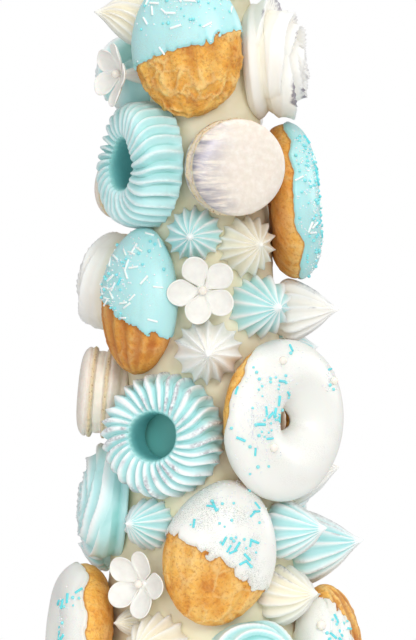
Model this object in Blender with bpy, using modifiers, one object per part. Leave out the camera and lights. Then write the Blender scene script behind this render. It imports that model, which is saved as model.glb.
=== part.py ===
"""Candy cone tower: a foam cone coated in cream icing and covered with small sweets, on its cake board.

Run with: blender --background --python part.py   (metres, +Z up, front towards -Y)

Every sweet is placed on the cone by its azimuth (0 is the front, positive to the right) and its height.
Each is modelled lying on its back, with its face towards its own +Z and its top towards its own +Y.
"""

import math
import random

import bmesh
import bpy
from mathutils import Matrix, Vector
from mathutils.bvhtree import BVHTree

MM = 0.001
GAP = 0.3 * MM

# Cake board and cone
BOARD_RADIUS = 112 * MM
BOARD_THICKNESS = 12 * MM
BOARD_EDGE_BEVEL = 1.5 * MM
CONE_FOOT = BOARD_THICKNESS + GAP
CONE_HEIGHT = 390 * MM
CONE_FOOT_RADIUS = 51 * MM
CONE_TOP_RADIUS = 17 * MM
CONE_TOP_ROUND = 4 * MM
CONE_SIDES = 24
BOARD_SIDES = 24
CLEARANCE_BELOW_FOOT = 10 * MM
CONE_SLOPE = (CONE_FOOT_RADIUS - CONE_TOP_RADIUS) / CONE_HEIGHT
CONE_LEAN = math.atan(CONE_SLOPE)

# Sweets at their usual sizes; profiles are (share of the radius, share of the height)
KISS_RADIUS = 13.8 * MM
KISS_HEIGHT_PER_RADIUS = 1.9
KISS_VALLEY = 0.22
KISS_TWIST = 0.35
KISS_SIDE = [(1.0, 0.22), (0.66, 0.62), (0.0, 1.0)]
KISS_BACK_RADIUS = 0.86
RING_RADIUS = 29.5 * MM
RING_HOLE_RADIUS = 10.5 * MM
RING_HEIGHT = 19 * MM
RING_FLUTES = 28
RING_SWIRL = 0.15
RING_VALLEY_DROP = 2.5 * MM
RING_VALLEY_NOTCH = 1.5 * MM
# Section of the ring: (-1 at its hole to 1 at its rim, share of the height)
RING_SECTION = [(-0.85, 0.0), (-1.0, 0.5), (-0.3, 1.0), (0.75, 0.78), (0.92, 0.0)]
DOUGHNUT_RADIUS = 37 * MM
DOUGHNUT_HOLE_RADIUS = 6 * MM
DOUGHNUT_HEIGHT = 23 * MM
MACARON_RADIUS = 21.8 * MM
MACARON_HEIGHT = 20 * MM
MACARON_SIDE = [(1.0, 0.27), (0.91, 0.41), (0.91, 0.59), (1.0, 0.73), (0.82, 0.98), (0.0, 1.0)]
MACARON_BACK_RADIUS = 0.82
MADELEINE_HALF_WIDTH = 26.2 * MM
MADELEINE_HALF_LENGTH = 34 * MM
MADELEINE_DEPTH = 24 * MM
MADELEINE_RIB = 0.13
MADELEINE_RIM = 0.36
ROSETTE_RADIUS = 29 * MM
ROSETTE_HEIGHT = 24 * MM
ROSETTE_FOLD = 2.6 * MM
ROSETTE_TURNS = 1.6
ROSETTE_FACE = [(1.0, 0.34), (0.84, 0.72), (0.54, 0.92), (0.25, 1.0), (0.0, 0.94)]
ROSETTE_BACK_RADIUS = 0.88
FLOWER_RADIUS = 16.5 * MM
FLOWER_CUP = 3.0 * MM
FLOWER_STAND = 3.4 * MM
FLOWER_FACE = [(0.0, 2.0), (0.2, 0.5), (0.66, 0.65), (1.0, 1.7)]
FLOWER_UNDERSIDE = [(0.66, -0.1), (0.24, -0.5)]
FLOWER_DAB_RADIUS = 0.2
FLOWER_PINCH = 0.44
TIP_KISS_RADIUS = 15 * MM
SMALLEST_RADIUS = 0.001 * MM

# Sugar strands fused to the iced part of a sweet
STRAND_LENGTH = 7 * MM
STRAND_RADIUS = 1.0 * MM
STRAND_SIDES = 5
STRAND_REACH = 0.73
STRAND_LOWEST = -0.1
STRAND_STEEPEST = 0.55
STRAND_SINK = 0.25
STRAND_TRIES = 40

# How deep the back of each kind is pressed into the icing, where the cone's clearance cuts it
SINK = {"kiss": 3.0 * MM, "ring": 2.5 * MM, "doughnut": 1.5 * MM, "macaron": 2.0 * MM,
        "madeleine": 4.0 * MM, "rosette": 4.5 * MM, "flower": -1.0 * MM}

COLOURS = {
    "cream": (0.91, 0.88, 0.78, 1.0),
    "white": (0.93, 0.93, 0.91, 1.0),
    "blue": (0.47, 0.79, 0.80, 1.0),
    "shell": (0.87, 0.82, 0.76, 1.0),
    "board": (0.90, 0.90, 0.88, 1.0),
}


def reset_scene():
    """Empty the scene and make the collections for the parts and for the cutters."""
    for old in list(bpy.data.objects):
        bpy.data.objects.remove(old, do_unlink=True)
    collections = []
    for name in ("candy_cone_tower", "cutters"):
        collection = bpy.data.collections.new(name)
        bpy.context.scene.collection.children.link(collection)
        collections.append(collection)
    return collections


def plain_material(name):
    material = bpy.data.materials.new(name)
    material.use_nodes = True
    shader = material.node_tree.nodes["Principled BSDF"]
    shader.inputs["Base Color"].default_value = COLOURS[name]
    shader.inputs["Roughness"].default_value = 0.55
    shader.inputs["Metallic"].default_value = 0.0
    return material


def cone_radius(height):
    return CONE_FOOT_RADIUS - (height - CONE_FOOT) * CONE_SLOPE


# ---- Shapes -------------------------------------------------------------------------------------------


def turned(profile, steps, closed=False):
    """Spin a profile of (radius, height) points about +Z into one closed solid."""
    bm = bmesh.new()
    verts = [bm.verts.new((radius, 0.0, height)) for radius, height in profile]
    edges = [bm.edges.new(pair) for pair in zip(verts, verts[1:])]
    if closed:
        edges.append(bm.edges.new((verts[-1], verts[0])))
    bmesh.ops.spin(bm, geom=verts + edges, cent=(0, 0, 0), axis=(0, 0, 1), dvec=(0, 0, 0),
                   angle=math.tau, steps=steps, use_merge=True)
    bmesh.ops.remove_doubles(bm, verts=bm.verts, dist=SMALLEST_RADIUS)
    bmesh.ops.recalc_face_normals(bm, faces=bm.faces)
    return bm


def polar(vert):
    return math.hypot(vert.co.x, vert.co.y), math.atan2(vert.co.y, vert.co.x)


def set_polar(vert, radius, angle):
    vert.co.x = radius * math.cos(angle)
    vert.co.y = radius * math.sin(angle)


def kiss(foot=0.0, radius=KISS_RADIUS, ridges=10):
    """Star-piped meringue kiss: ridges that twist as they climb to a small point."""
    height = radius * KISS_HEIGHT_PER_RADIUS
    side = [(r * radius, h * height) for r, h in KISS_SIDE]
    bm = turned([(0.0, -foot), (KISS_BACK_RADIUS * radius, -foot)] + side, 2 * ridges)
    for vert in bm.verts:
        r, angle = polar(vert)
        climb = vert.co.z / height
        ridge = round(angle * ridges / math.pi) % 2
        # The valleys run out towards the tip
        depth = KISS_VALLEY * math.sin(math.pi * min(1.0, 0.25 + max(0.0, climb)))
        set_polar(vert, r * (1.0 - depth * ridge), angle + KISS_TWIST * climb)
    return bm


def ring(foot=0.0, radius=RING_RADIUS, flutes=RING_FLUTES):
    """Fluted meringue ring: flutes that swirl from the hole's rim over the crown to the outer edge."""
    middle = 0.5 * (radius + RING_HOLE_RADIUS)
    half = 0.5 * (radius - RING_HOLE_RADIUS)
    section = [(middle + u * half, h * RING_HEIGHT if h else -foot) for u, h in RING_SECTION]
    bm = turned(section, 2 * flutes, closed=True)
    for vert in bm.verts:
        r, angle = polar(vert)
        outward = (r - middle) / half
        valley = round(angle * flutes / math.pi) % 2
        raised = max(0.0, vert.co.z / RING_HEIGHT)
        vert.co.z -= valley * RING_VALLEY_DROP * raised
        set_polar(vert, r - valley * RING_VALLEY_NOTCH * max(0.0, outward), angle + RING_SWIRL * outward)
    return bm


def doughnut(foot=0.0, radius=DOUGHNUT_RADIUS, steps=20, sides=8):
    """Doughnut: fuller on its iced face, flatter on its back, a little uneven round its edge."""
    middle = 0.5 * (radius + DOUGHNUT_HOLE_RADIUS)
    half = 0.5 * (radius - DOUGHNUT_HOLE_RADIUS)
    section = []
    for side in range(sides):
        turn = -math.tau * side / sides
        lift = 0.5 + 0.5 * math.sin(turn)
        section.append((middle + half * math.cos(turn), DOUGHNUT_HEIGHT * lift - foot * (1.0 - lift)))
    bm = turned(section, steps, closed=True)
    for vert in bm.verts:
        r, angle = polar(vert)
        uneven = 0.012 * math.sin(2 * angle + 0.6) + 0.010 * math.sin(3 * angle)
        set_polar(vert, r * (1.0 + uneven), angle)
    return bm


def macaron(foot=0.0, radius=MACARON_RADIUS, steps=16):
    """Macaron: two domed shells with proud feet, and the filling set back between them."""
    side = [(r * radius, h * MACARON_HEIGHT) for r, h in MACARON_SIDE]
    return turned([(0.0, -foot), (MACARON_BACK_RADIUS * radius, -foot)] + side, steps)


def madeleine(foot=0.0, width=1.0, segments=28, rings=7):
    """Madeleine: an egg-shaped shell cake, ribbed lengthwise on its face, with a flatter back."""
    bm = bmesh.new()
    bmesh.ops.create_uvsphere(bm, u_segments=segments, v_segments=rings, radius=1.0)
    for vert in bm.verts:
        across, face, along = vert.co
        turn = math.atan2(face, across)
        rib = round((turn + math.pi) * segments / math.tau) % 2
        egg = 1.0 - 0.06 * along - 0.10 * along * along
        # The ribs run out at the two ends; the back is flatter than the face
        fullness = min(1.0, 1.12 * math.hypot(across, face))
        if face > 0.0:
            rise = MADELEINE_RIM + (1.0 - MADELEINE_RIM) * face * (1.0 - MADELEINE_RIB * rib * fullness)
        else:
            rise = max(0.0, MADELEINE_RIM * (1.0 + 1.3 * face))
        side = across * (1.0 - 0.5 * MADELEINE_RIB * rib * max(0.0, face))
        vert.co = (side * egg * width * MADELEINE_HALF_WIDTH, along * MADELEINE_HALF_LENGTH,
                   rise * MADELEINE_DEPTH - foot * max(0.0, -face))
    bmesh.ops.recalc_face_normals(bm, faces=bm.faces)
    return bm


def rosette(foot=0.0, radius=ROSETTE_RADIUS, height=ROSETTE_HEIGHT, steps=20):
    """Piped rose: a dome whose folds wind outwards from the middle in one spiral."""
    face = [(r * radius, h * height) for r, h in ROSETTE_FACE]
    bm = turned([(0.0, -foot), (ROSETTE_BACK_RADIUS * radius, -foot)] + face, steps)
    for vert in bm.verts:
        r, angle = polar(vert)
        if vert.co.z <= 0.0 or r < SMALLEST_RADIUS:
            continue
        fold = math.cos(angle - math.tau * ROSETTE_TURNS * r / radius)
        vert.co.z += ROSETTE_FOLD * fold
        set_polar(vert, r * (1.0 + 0.05 * fold), angle)
    return bm


def flower(foot=0.0, radius=FLOWER_RADIUS, petals=5):
    """Sugar flower on a dab of icing: five cupped petals of one thickness, a sugar pearl in the middle."""
    profile = [(r * radius, FLOWER_STAND + h * FLOWER_CUP) for r, h in FLOWER_FACE + FLOWER_UNDERSIDE]
    bm = turned(profile + [(FLOWER_DAB_RADIUS * radius, -foot), (0.0, -foot)], 4 * petals)
    for vert in bm.verts:
        r, angle = polar(vert)
        if vert.co.z <= 0.0:
            continue
        lobe = abs(math.cos(0.5 * petals * angle)) ** 0.55
        outward = min(1.0, 1.35 * r / radius)
        set_polar(vert, r * (1.0 - FLOWER_PINCH * (1.0 - lobe) * outward), angle)
    return bm


SHAPES = {"kiss": kiss, "ring": ring, "doughnut": doughnut, "macaron": macaron,
          "madeleine": madeleine, "rosette": rosette, "flower": flower}


# ---- Placing ------------------------------------------------------------------------------------------


def seat(azimuth, height, depth, spin, turn):
    """Matrix of a sweet on the cone: its back `depth` inside the icing, spun, and turned aside."""
    outward = Vector((math.sin(azimuth), -math.cos(azimuth), 0.0))
    across = Vector((math.cos(azimuth), math.sin(azimuth), 0.0))
    normal = outward * math.cos(CONE_LEAN) + Vector((0, 0, 1)) * math.sin(CONE_LEAN)
    up = normal.cross(across)
    place = outward * cone_radius(height) + Vector((0, 0, height)) - normal * depth
    axes = Matrix((across, up, normal)).transposed().to_4x4()
    return Matrix.Translation(place) @ axes @ Matrix.Rotation(turn, 4, "Y") @ Matrix.Rotation(spin, 4, "Z")


# The sweets from the top down: name, kind, colour, azimuth (degrees), height (mm), and what is special.
# spin turns a sweet about its own face, turn faces it aside (degrees), lift moves it out from the
# cone (mm), strands are fused to it, and the rest are arguments of its shape.
SWEETS = [
    # Front and sides
    ("kiss_blue_top", "kiss", "blue", 48, 366, {}),
    ("kiss_cream_upper_left", "kiss", "cream", -88, 342.5, {"lift": 4, "radius": 14.5 * MM}),
    ("madeleine_blue_top", "madeleine", "blue", -16, 332.8, {"strands": 6, "spin": 5}),
    ("rosette_white_upper_right", "rosette", "white", 84, 323, {"lift": 3.5}),
    ("flower_upper_left", "flower", "white", -68.5, 317, {"lift": 12.5, "radius": 15 * MM, "turn": 6}),
    ("rosette_blue_upper_left", "rosette", "blue", -114, 315.5, {"lift": 8, "radius": 17.6 * MM}),
    ("ring_blue_upper", "ring", "blue", -57, 276.6, {"turn": -7, "lift": 2}),
    ("macaron_pearl", "macaron", "shell", 19, 277, {"lift": 6, "radius": 22.3 * MM}),
    ("macaron_left_upper", "macaron", "shell", -131, 261.5, {"lift": 9, "radius": 17 * MM}),
    ("doughnut_blue", "doughnut", "blue", 94, 258, {"strands": 2, "radius": 36.5 * MM}),
    ("kiss_blue_middle", "kiss", "blue", -8.2, 246.7, {"radius": 13.2 * MM}),
    ("kiss_cream_middle", "kiss", "cream", 38, 241, {"lift": 1, "turn": -22, "radius": 14.2 * MM}),
    ("flower_middle", "flower", "white", -1, 221.5, {"lift": 1.5, "spin": 40}),
    ("kiss_blue_right", "kiss", "blue", 48, 213, {"lift": 1, "turn": -28, "radius": 15.4 * MM}),
    ("kiss_white_right", "kiss", "white", 87, 208, {"lift": 4, "radius": 14.4 * MM}),
    ("madeleine_blue_left", "madeleine", "blue", -50, 214.5, {"width": 0.86, "strands": 5}),
    ("rosette_white_left", "rosette", "white", -119, 215.5, {"lift": 8, "radius": 26 * MM}),
    ("kiss_white_middle", "kiss", "white", 2.5, 194, {"radius": 15.8 * MM}),
    ("macaron_left_lower", "macaron", "shell", -92, 169, {"lift": 3, "radius": 20.8 * MM}),
    ("doughnut_white_front", "doughnut", "white", 48, 161, {"strands": 6}),
    ("ring_blue_lower", "ring", "blue", -26, 155, {"lift": 1}),
    ("kiss_white_far_right", "kiss", "white", 99, 131, {}),
    ("rosette_blue_left", "rosette", "blue", -86, 119, {"radius": 29 * MM, "height": 21 * MM}),
    ("kiss_blue_lower_left", "kiss", "blue", -35, 114, {"radius": 12.5 * MM}),
    ("kiss_blue_lower_right", "kiss", "blue", 54, 110, {"radius": 14.2 * MM, "lift": 2}),
    ("madeleine_white", "madeleine", "white", 8, 102, {"spin": -14, "strands": 5}),
    ("kiss_blue_large", "kiss", "blue", 86, 98, {"radius": 17 * MM, "lift": 1}),
    ("kiss_blue_far_left", "kiss", "blue", -121, 91, {"radius": 10 * MM, "lift": 9}),
    ("flower_lower_left", "flower", "white", -36, 87, {}),
    ("kiss_cream_lower_right", "kiss", "cream", 49, 81, {"radius": 14.5 * MM}),
    ("kiss_blue_behind_right", "kiss", "blue", 115, 90, {"radius": 10.3 * MM, "ridges": 8}),
    ("madeleine_lower_right", "madeleine", "white", 79, 49, {"lift": 7, "spin": 10}),
    ("kiss_cream_bottom", "kiss", "cream", -26, 60, {"radius": 15.3 * MM}),
    ("kiss_cream_low_left", "kiss", "cream", -48, 68, {"radius": 6.5 * MM, "ridges": 8}),
    ("doughnut_white_lower_left", "doughnut", "white", -81, 55, {"lift": 2}),
    ("rosette_blue_bottom", "rosette", "blue", 25, 51, {"radius": 22 * MM}),
    ("kiss_white_foot_left", "kiss", "white", -20, 28, {}),
    ("kiss_blue_foot_right", "kiss", "blue", 50, 26, {"ridges": 8, "radius": 10 * MM}),
    # Crown
    ("kiss_white_crown_front", "kiss", "white", 2, 390, {"ridges": 8, "radius": 12.4 * MM}),
    ("kiss_blue_crown_right", "kiss", "blue", 78, 391, {"ridges": 8, "radius": 12.4 * MM}),
    ("kiss_white_crown_back_right", "kiss", "white", 150, 390, {"ridges": 8, "radius": 12.4 * MM}),
    ("kiss_cream_crown_back_left", "kiss", "cream", 221, 390, {"ridges": 8, "radius": 12.4 * MM}),
    ("kiss_blue_crown_left", "kiss", "blue", 292, 390, {"ridges": 8, "radius": 12 * MM}),
    # Back
    ("rosette_blue_back_top", "rosette", "blue", 180, 353, {"radius": 21 * MM, "steps": 16}),
    ("ring_white_back", "ring", "white", 173, 298, {"radius": 24.5 * MM, "flutes": 14}),
    ("macaron_back", "macaron", "shell", 174, 248, {"radius": 19 * MM, "steps": 12}),
    ("doughnut_white_back", "doughnut", "white", 163, 186, {"radius": 34 * MM, "steps": 16, "sides": 7}),
    ("kiss_blue_back_right", "kiss", "blue", 110, 188, {"ridges": 8, "radius": 12.5 * MM}),
    ("kiss_blue_back_left", "kiss", "blue", 225, 170, {"ridges": 8, "radius": 12 * MM}),
    ("ring_blue_back", "ring", "blue", 151, 122, {"flutes": 16}),
    ("madeleine_blue_back", "madeleine", "blue", 213, 122, {"width": 0.82, "segments": 16, "rings": 6}),
    ("madeleine_white_back", "madeleine", "white", 136, 49, {"segments": 16, "rings": 6}),
    ("doughnut_blue_back", "doughnut", "blue", 193, 49, {"radius": 32 * MM, "steps": 16, "sides": 7}),
    ("kiss_white_back_low", "kiss", "white", 233, 61, {"ridges": 8, "radius": 12 * MM}),
    ("kiss_cream_back_foot", "kiss", "cream", 232, 30, {"ridges": 8, "radius": 12 * MM}),
]
OWN_ARGUMENTS = ("spin", "turn", "lift", "strands")


# ---- Parts --------------------------------------------------------------------------------------------


def new_object(name, bm, collection, material=None):
    mesh = bpy.data.meshes.new(name)
    bm.to_mesh(mesh)
    bm.free()
    obj = bpy.data.objects.new(name, mesh)
    collection.objects.link(obj)
    if material:
        mesh.materials.append(material)
    return obj


def screwed(name, profile, collection, material, steps):
    """Turned part from a profile that runs down its outer side from the axis to the axis."""
    mesh = bpy.data.meshes.new(name)
    mesh.from_pydata([(r, 0.0, z) for r, z in profile], [(i, i + 1) for i in range(len(profile) - 1)], [])
    obj = bpy.data.objects.new(name, mesh)
    collection.objects.link(obj)
    mesh.materials.append(material)
    screw = obj.modifiers.new("turn", "SCREW")
    screw.steps = steps
    screw.render_steps = steps
    screw.use_merge_vertices = True
    screw.merge_threshold = 0.00001
    return obj


def cone_profile(grow):
    """Outline of the coated cone from its top down, moved out by `grow`."""
    top = CONE_FOOT + CONE_HEIGHT
    foot = CONE_FOOT - (CLEARANCE_BELOW_FOOT if grow else 0.0)
    widen = grow / math.cos(CONE_LEAN)
    return [(0.0, top + grow), (CONE_TOP_RADIUS - CONE_TOP_ROUND + grow, top + grow),
            (cone_radius(top - CONE_TOP_ROUND) + widen, top - CONE_TOP_ROUND),
            (cone_radius(foot) + widen, foot), (0.0, foot)]


def build_board(collection, material):
    bevel = BOARD_EDGE_BEVEL
    profile = [(0.0, BOARD_THICKNESS), (BOARD_RADIUS - bevel, BOARD_THICKNESS),
               (BOARD_RADIUS, BOARD_THICKNESS - bevel), (BOARD_RADIUS, bevel),
               (BOARD_RADIUS - bevel, 0.0), (0.0, 0.0)]
    return screwed("cake_board", profile, collection, material, BOARD_SIDES)


def strand_mesh():
    bm = bmesh.new()
    bmesh.ops.create_cone(bm, cap_ends=True, segments=STRAND_SIDES, radius1=STRAND_RADIUS,
                          radius2=STRAND_RADIUS, depth=STRAND_LENGTH)
    return bm


def add_strands(obj, count, seed):
    """Fuse sugar strands to the iced upper part of a sweet, lying on its face in any direction."""
    rng = random.Random(seed)
    bm = bmesh.new()
    bm.from_mesh(obj.data)
    surface = BVHTree.FromBMesh(bm)
    reach_x = STRAND_REACH * max(v.co.x for v in bm.verts)
    reach_y = STRAND_REACH * max(v.co.y for v in bm.verts)
    over_face = 2 * max(v.co.z for v in bm.verts)
    bm.free()
    scatter = bpy.data.collections.new("strands")
    bpy.context.scene.collection.children.link(scatter)
    placed = []
    for _ in range(STRAND_TRIES * count):
        spot = Vector((rng.uniform(-reach_x, reach_x), rng.uniform(STRAND_LOWEST, 1.0) * reach_y, over_face))
        point, normal, _, _ = surface.ray_cast(spot, Vector((0, 0, -1)))
        heading = rng.uniform(0, math.pi)
        crowded = point is None or any((point - other).length < STRAND_LENGTH for other in placed)
        if crowded or normal.z < STRAND_STEEPEST or len(placed) == count:
            continue
        placed.append(point)
        along = Vector((math.cos(heading), math.sin(heading), 0.0))
        along = (along - normal * along.dot(normal)).normalized()
        axes = Matrix((normal.cross(along), normal, along)).transposed().to_4x4()
        strand = new_object("strand", strand_mesh(), scatter)
        strand.data.transform(Matrix.Translation(point + normal * STRAND_SINK * STRAND_RADIUS) @ axes)
    union = obj.modifiers.new("strands", "BOOLEAN")
    union.operation = "UNION"
    union.operand_type = "COLLECTION"
    union.collection = scatter
    bpy.context.view_layer.update()
    fused = bpy.data.meshes.new_from_object(obj.evaluated_get(bpy.context.evaluated_depsgraph_get()))
    obj.modifiers.remove(union)
    plain = obj.data
    obj.data = fused
    fused.name = obj.name
    bpy.data.meshes.remove(plain)
    for strand in list(scatter.objects):
        bpy.data.objects.remove(strand, do_unlink=True)
    bpy.data.collections.remove(scatter)


def build_sweet(row, seed, collection, materials, clearance):
    name, kind, colour, azimuth, height, special = row
    shape = {key: value for key, value in special.items() if key not in OWN_ARGUMENTS}
    lift = special.get("lift", 0.0) * MM
    obj = new_object(name, SHAPES[kind](foot=lift, **shape), collection, materials[colour])
    if special.get("strands"):
        add_strands(obj, special["strands"], seed)
    spin, turn = (math.radians(special.get(key, 0.0)) for key in ("spin", "turn"))
    obj.matrix_world = seat(math.radians(azimuth), height * MM, SINK[kind] - lift, spin, turn)
    cut = obj.modifiers.new("back_on_cone", "BOOLEAN")
    cut.operation = "DIFFERENCE"
    cut.object = clearance
    return obj


def build_tip(collection, material):
    """Large kiss that stands on the blunt tip of the cone."""
    tip = new_object("kiss_white_tip", kiss(radius=TIP_KISS_RADIUS), collection, material)
    tip.location = (0.0, 0.0, CONE_FOOT + CONE_HEIGHT + GAP)


def main():
    parts, cutters = reset_scene()
    materials = {name: plain_material(name) for name in COLOURS}
    build_board(parts, materials["board"])
    screwed("icing_cone", cone_profile(0.0), parts, materials["cream"], CONE_SIDES)
    clearance = screwed("cone_clearance", cone_profile(GAP), cutters, materials["cream"], CONE_SIDES)
    clearance.hide_render = True
    clearance.display_type = "WIRE"
    for seed, row in enumerate(SWEETS):
        build_sweet(row, seed, parts, materials, clearance)
    build_tip(parts, materials["white"])
    bpy.context.view_layer.update()


main()
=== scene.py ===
"""Candy cone tower: the finish of every sweet, of the iced cone and of its cake board.

Each sweet is shaped lying on its back, with its face towards +Z and its top towards +Y, and is then
seated on the cone by its azimuth (0 is the front, positive to the right) and its height.
"""

import math
import random

import bpy
import numpy as np
from mathutils import Matrix, Vector


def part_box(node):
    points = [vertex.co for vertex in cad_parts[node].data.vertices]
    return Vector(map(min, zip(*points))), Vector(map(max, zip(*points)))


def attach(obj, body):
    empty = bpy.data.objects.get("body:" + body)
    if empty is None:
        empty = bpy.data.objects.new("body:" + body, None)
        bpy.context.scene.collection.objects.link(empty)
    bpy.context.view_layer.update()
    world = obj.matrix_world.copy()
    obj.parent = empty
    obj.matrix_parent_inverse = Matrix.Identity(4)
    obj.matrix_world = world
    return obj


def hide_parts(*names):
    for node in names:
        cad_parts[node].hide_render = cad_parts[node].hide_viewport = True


bl_info = {
    "name": "Candy cone tower",
    "version": (1, 0, 0),
    "blender": (4, 5, 0),
    "location": "3D View > Sidebar > Candy tower",
    "description": "Makes the iced cone and the sweets that cover it",
    "category": "Object",
}

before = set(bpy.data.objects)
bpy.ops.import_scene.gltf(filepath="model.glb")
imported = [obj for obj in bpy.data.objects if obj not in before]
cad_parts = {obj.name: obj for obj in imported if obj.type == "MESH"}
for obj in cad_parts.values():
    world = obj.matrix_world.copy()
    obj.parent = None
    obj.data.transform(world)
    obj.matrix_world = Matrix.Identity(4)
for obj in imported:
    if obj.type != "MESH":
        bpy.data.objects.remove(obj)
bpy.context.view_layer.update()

MM = 0.001

# The cone under the sweets, as in the model
CONE_FOOT = 12.3 * MM
CONE_HEIGHT = 390 * MM
CONE_FOOT_RADIUS = 51 * MM
CONE_TOP_RADIUS = 17 * MM
CONE_SLOPE = (CONE_FOOT_RADIUS - CONE_TOP_RADIUS) / CONE_HEIGHT
CONE_LEAN = math.atan(CONE_SLOPE)

# How deep the back of each kind is pressed into the icing (mm)
SINK = {"kiss": 3.0, "ring": 2.5, "doughnut": 1.5, "macaron": 2.0, "madeleine": 4.0, "rosette": 4.5,
        "flower": -1.0}

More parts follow.
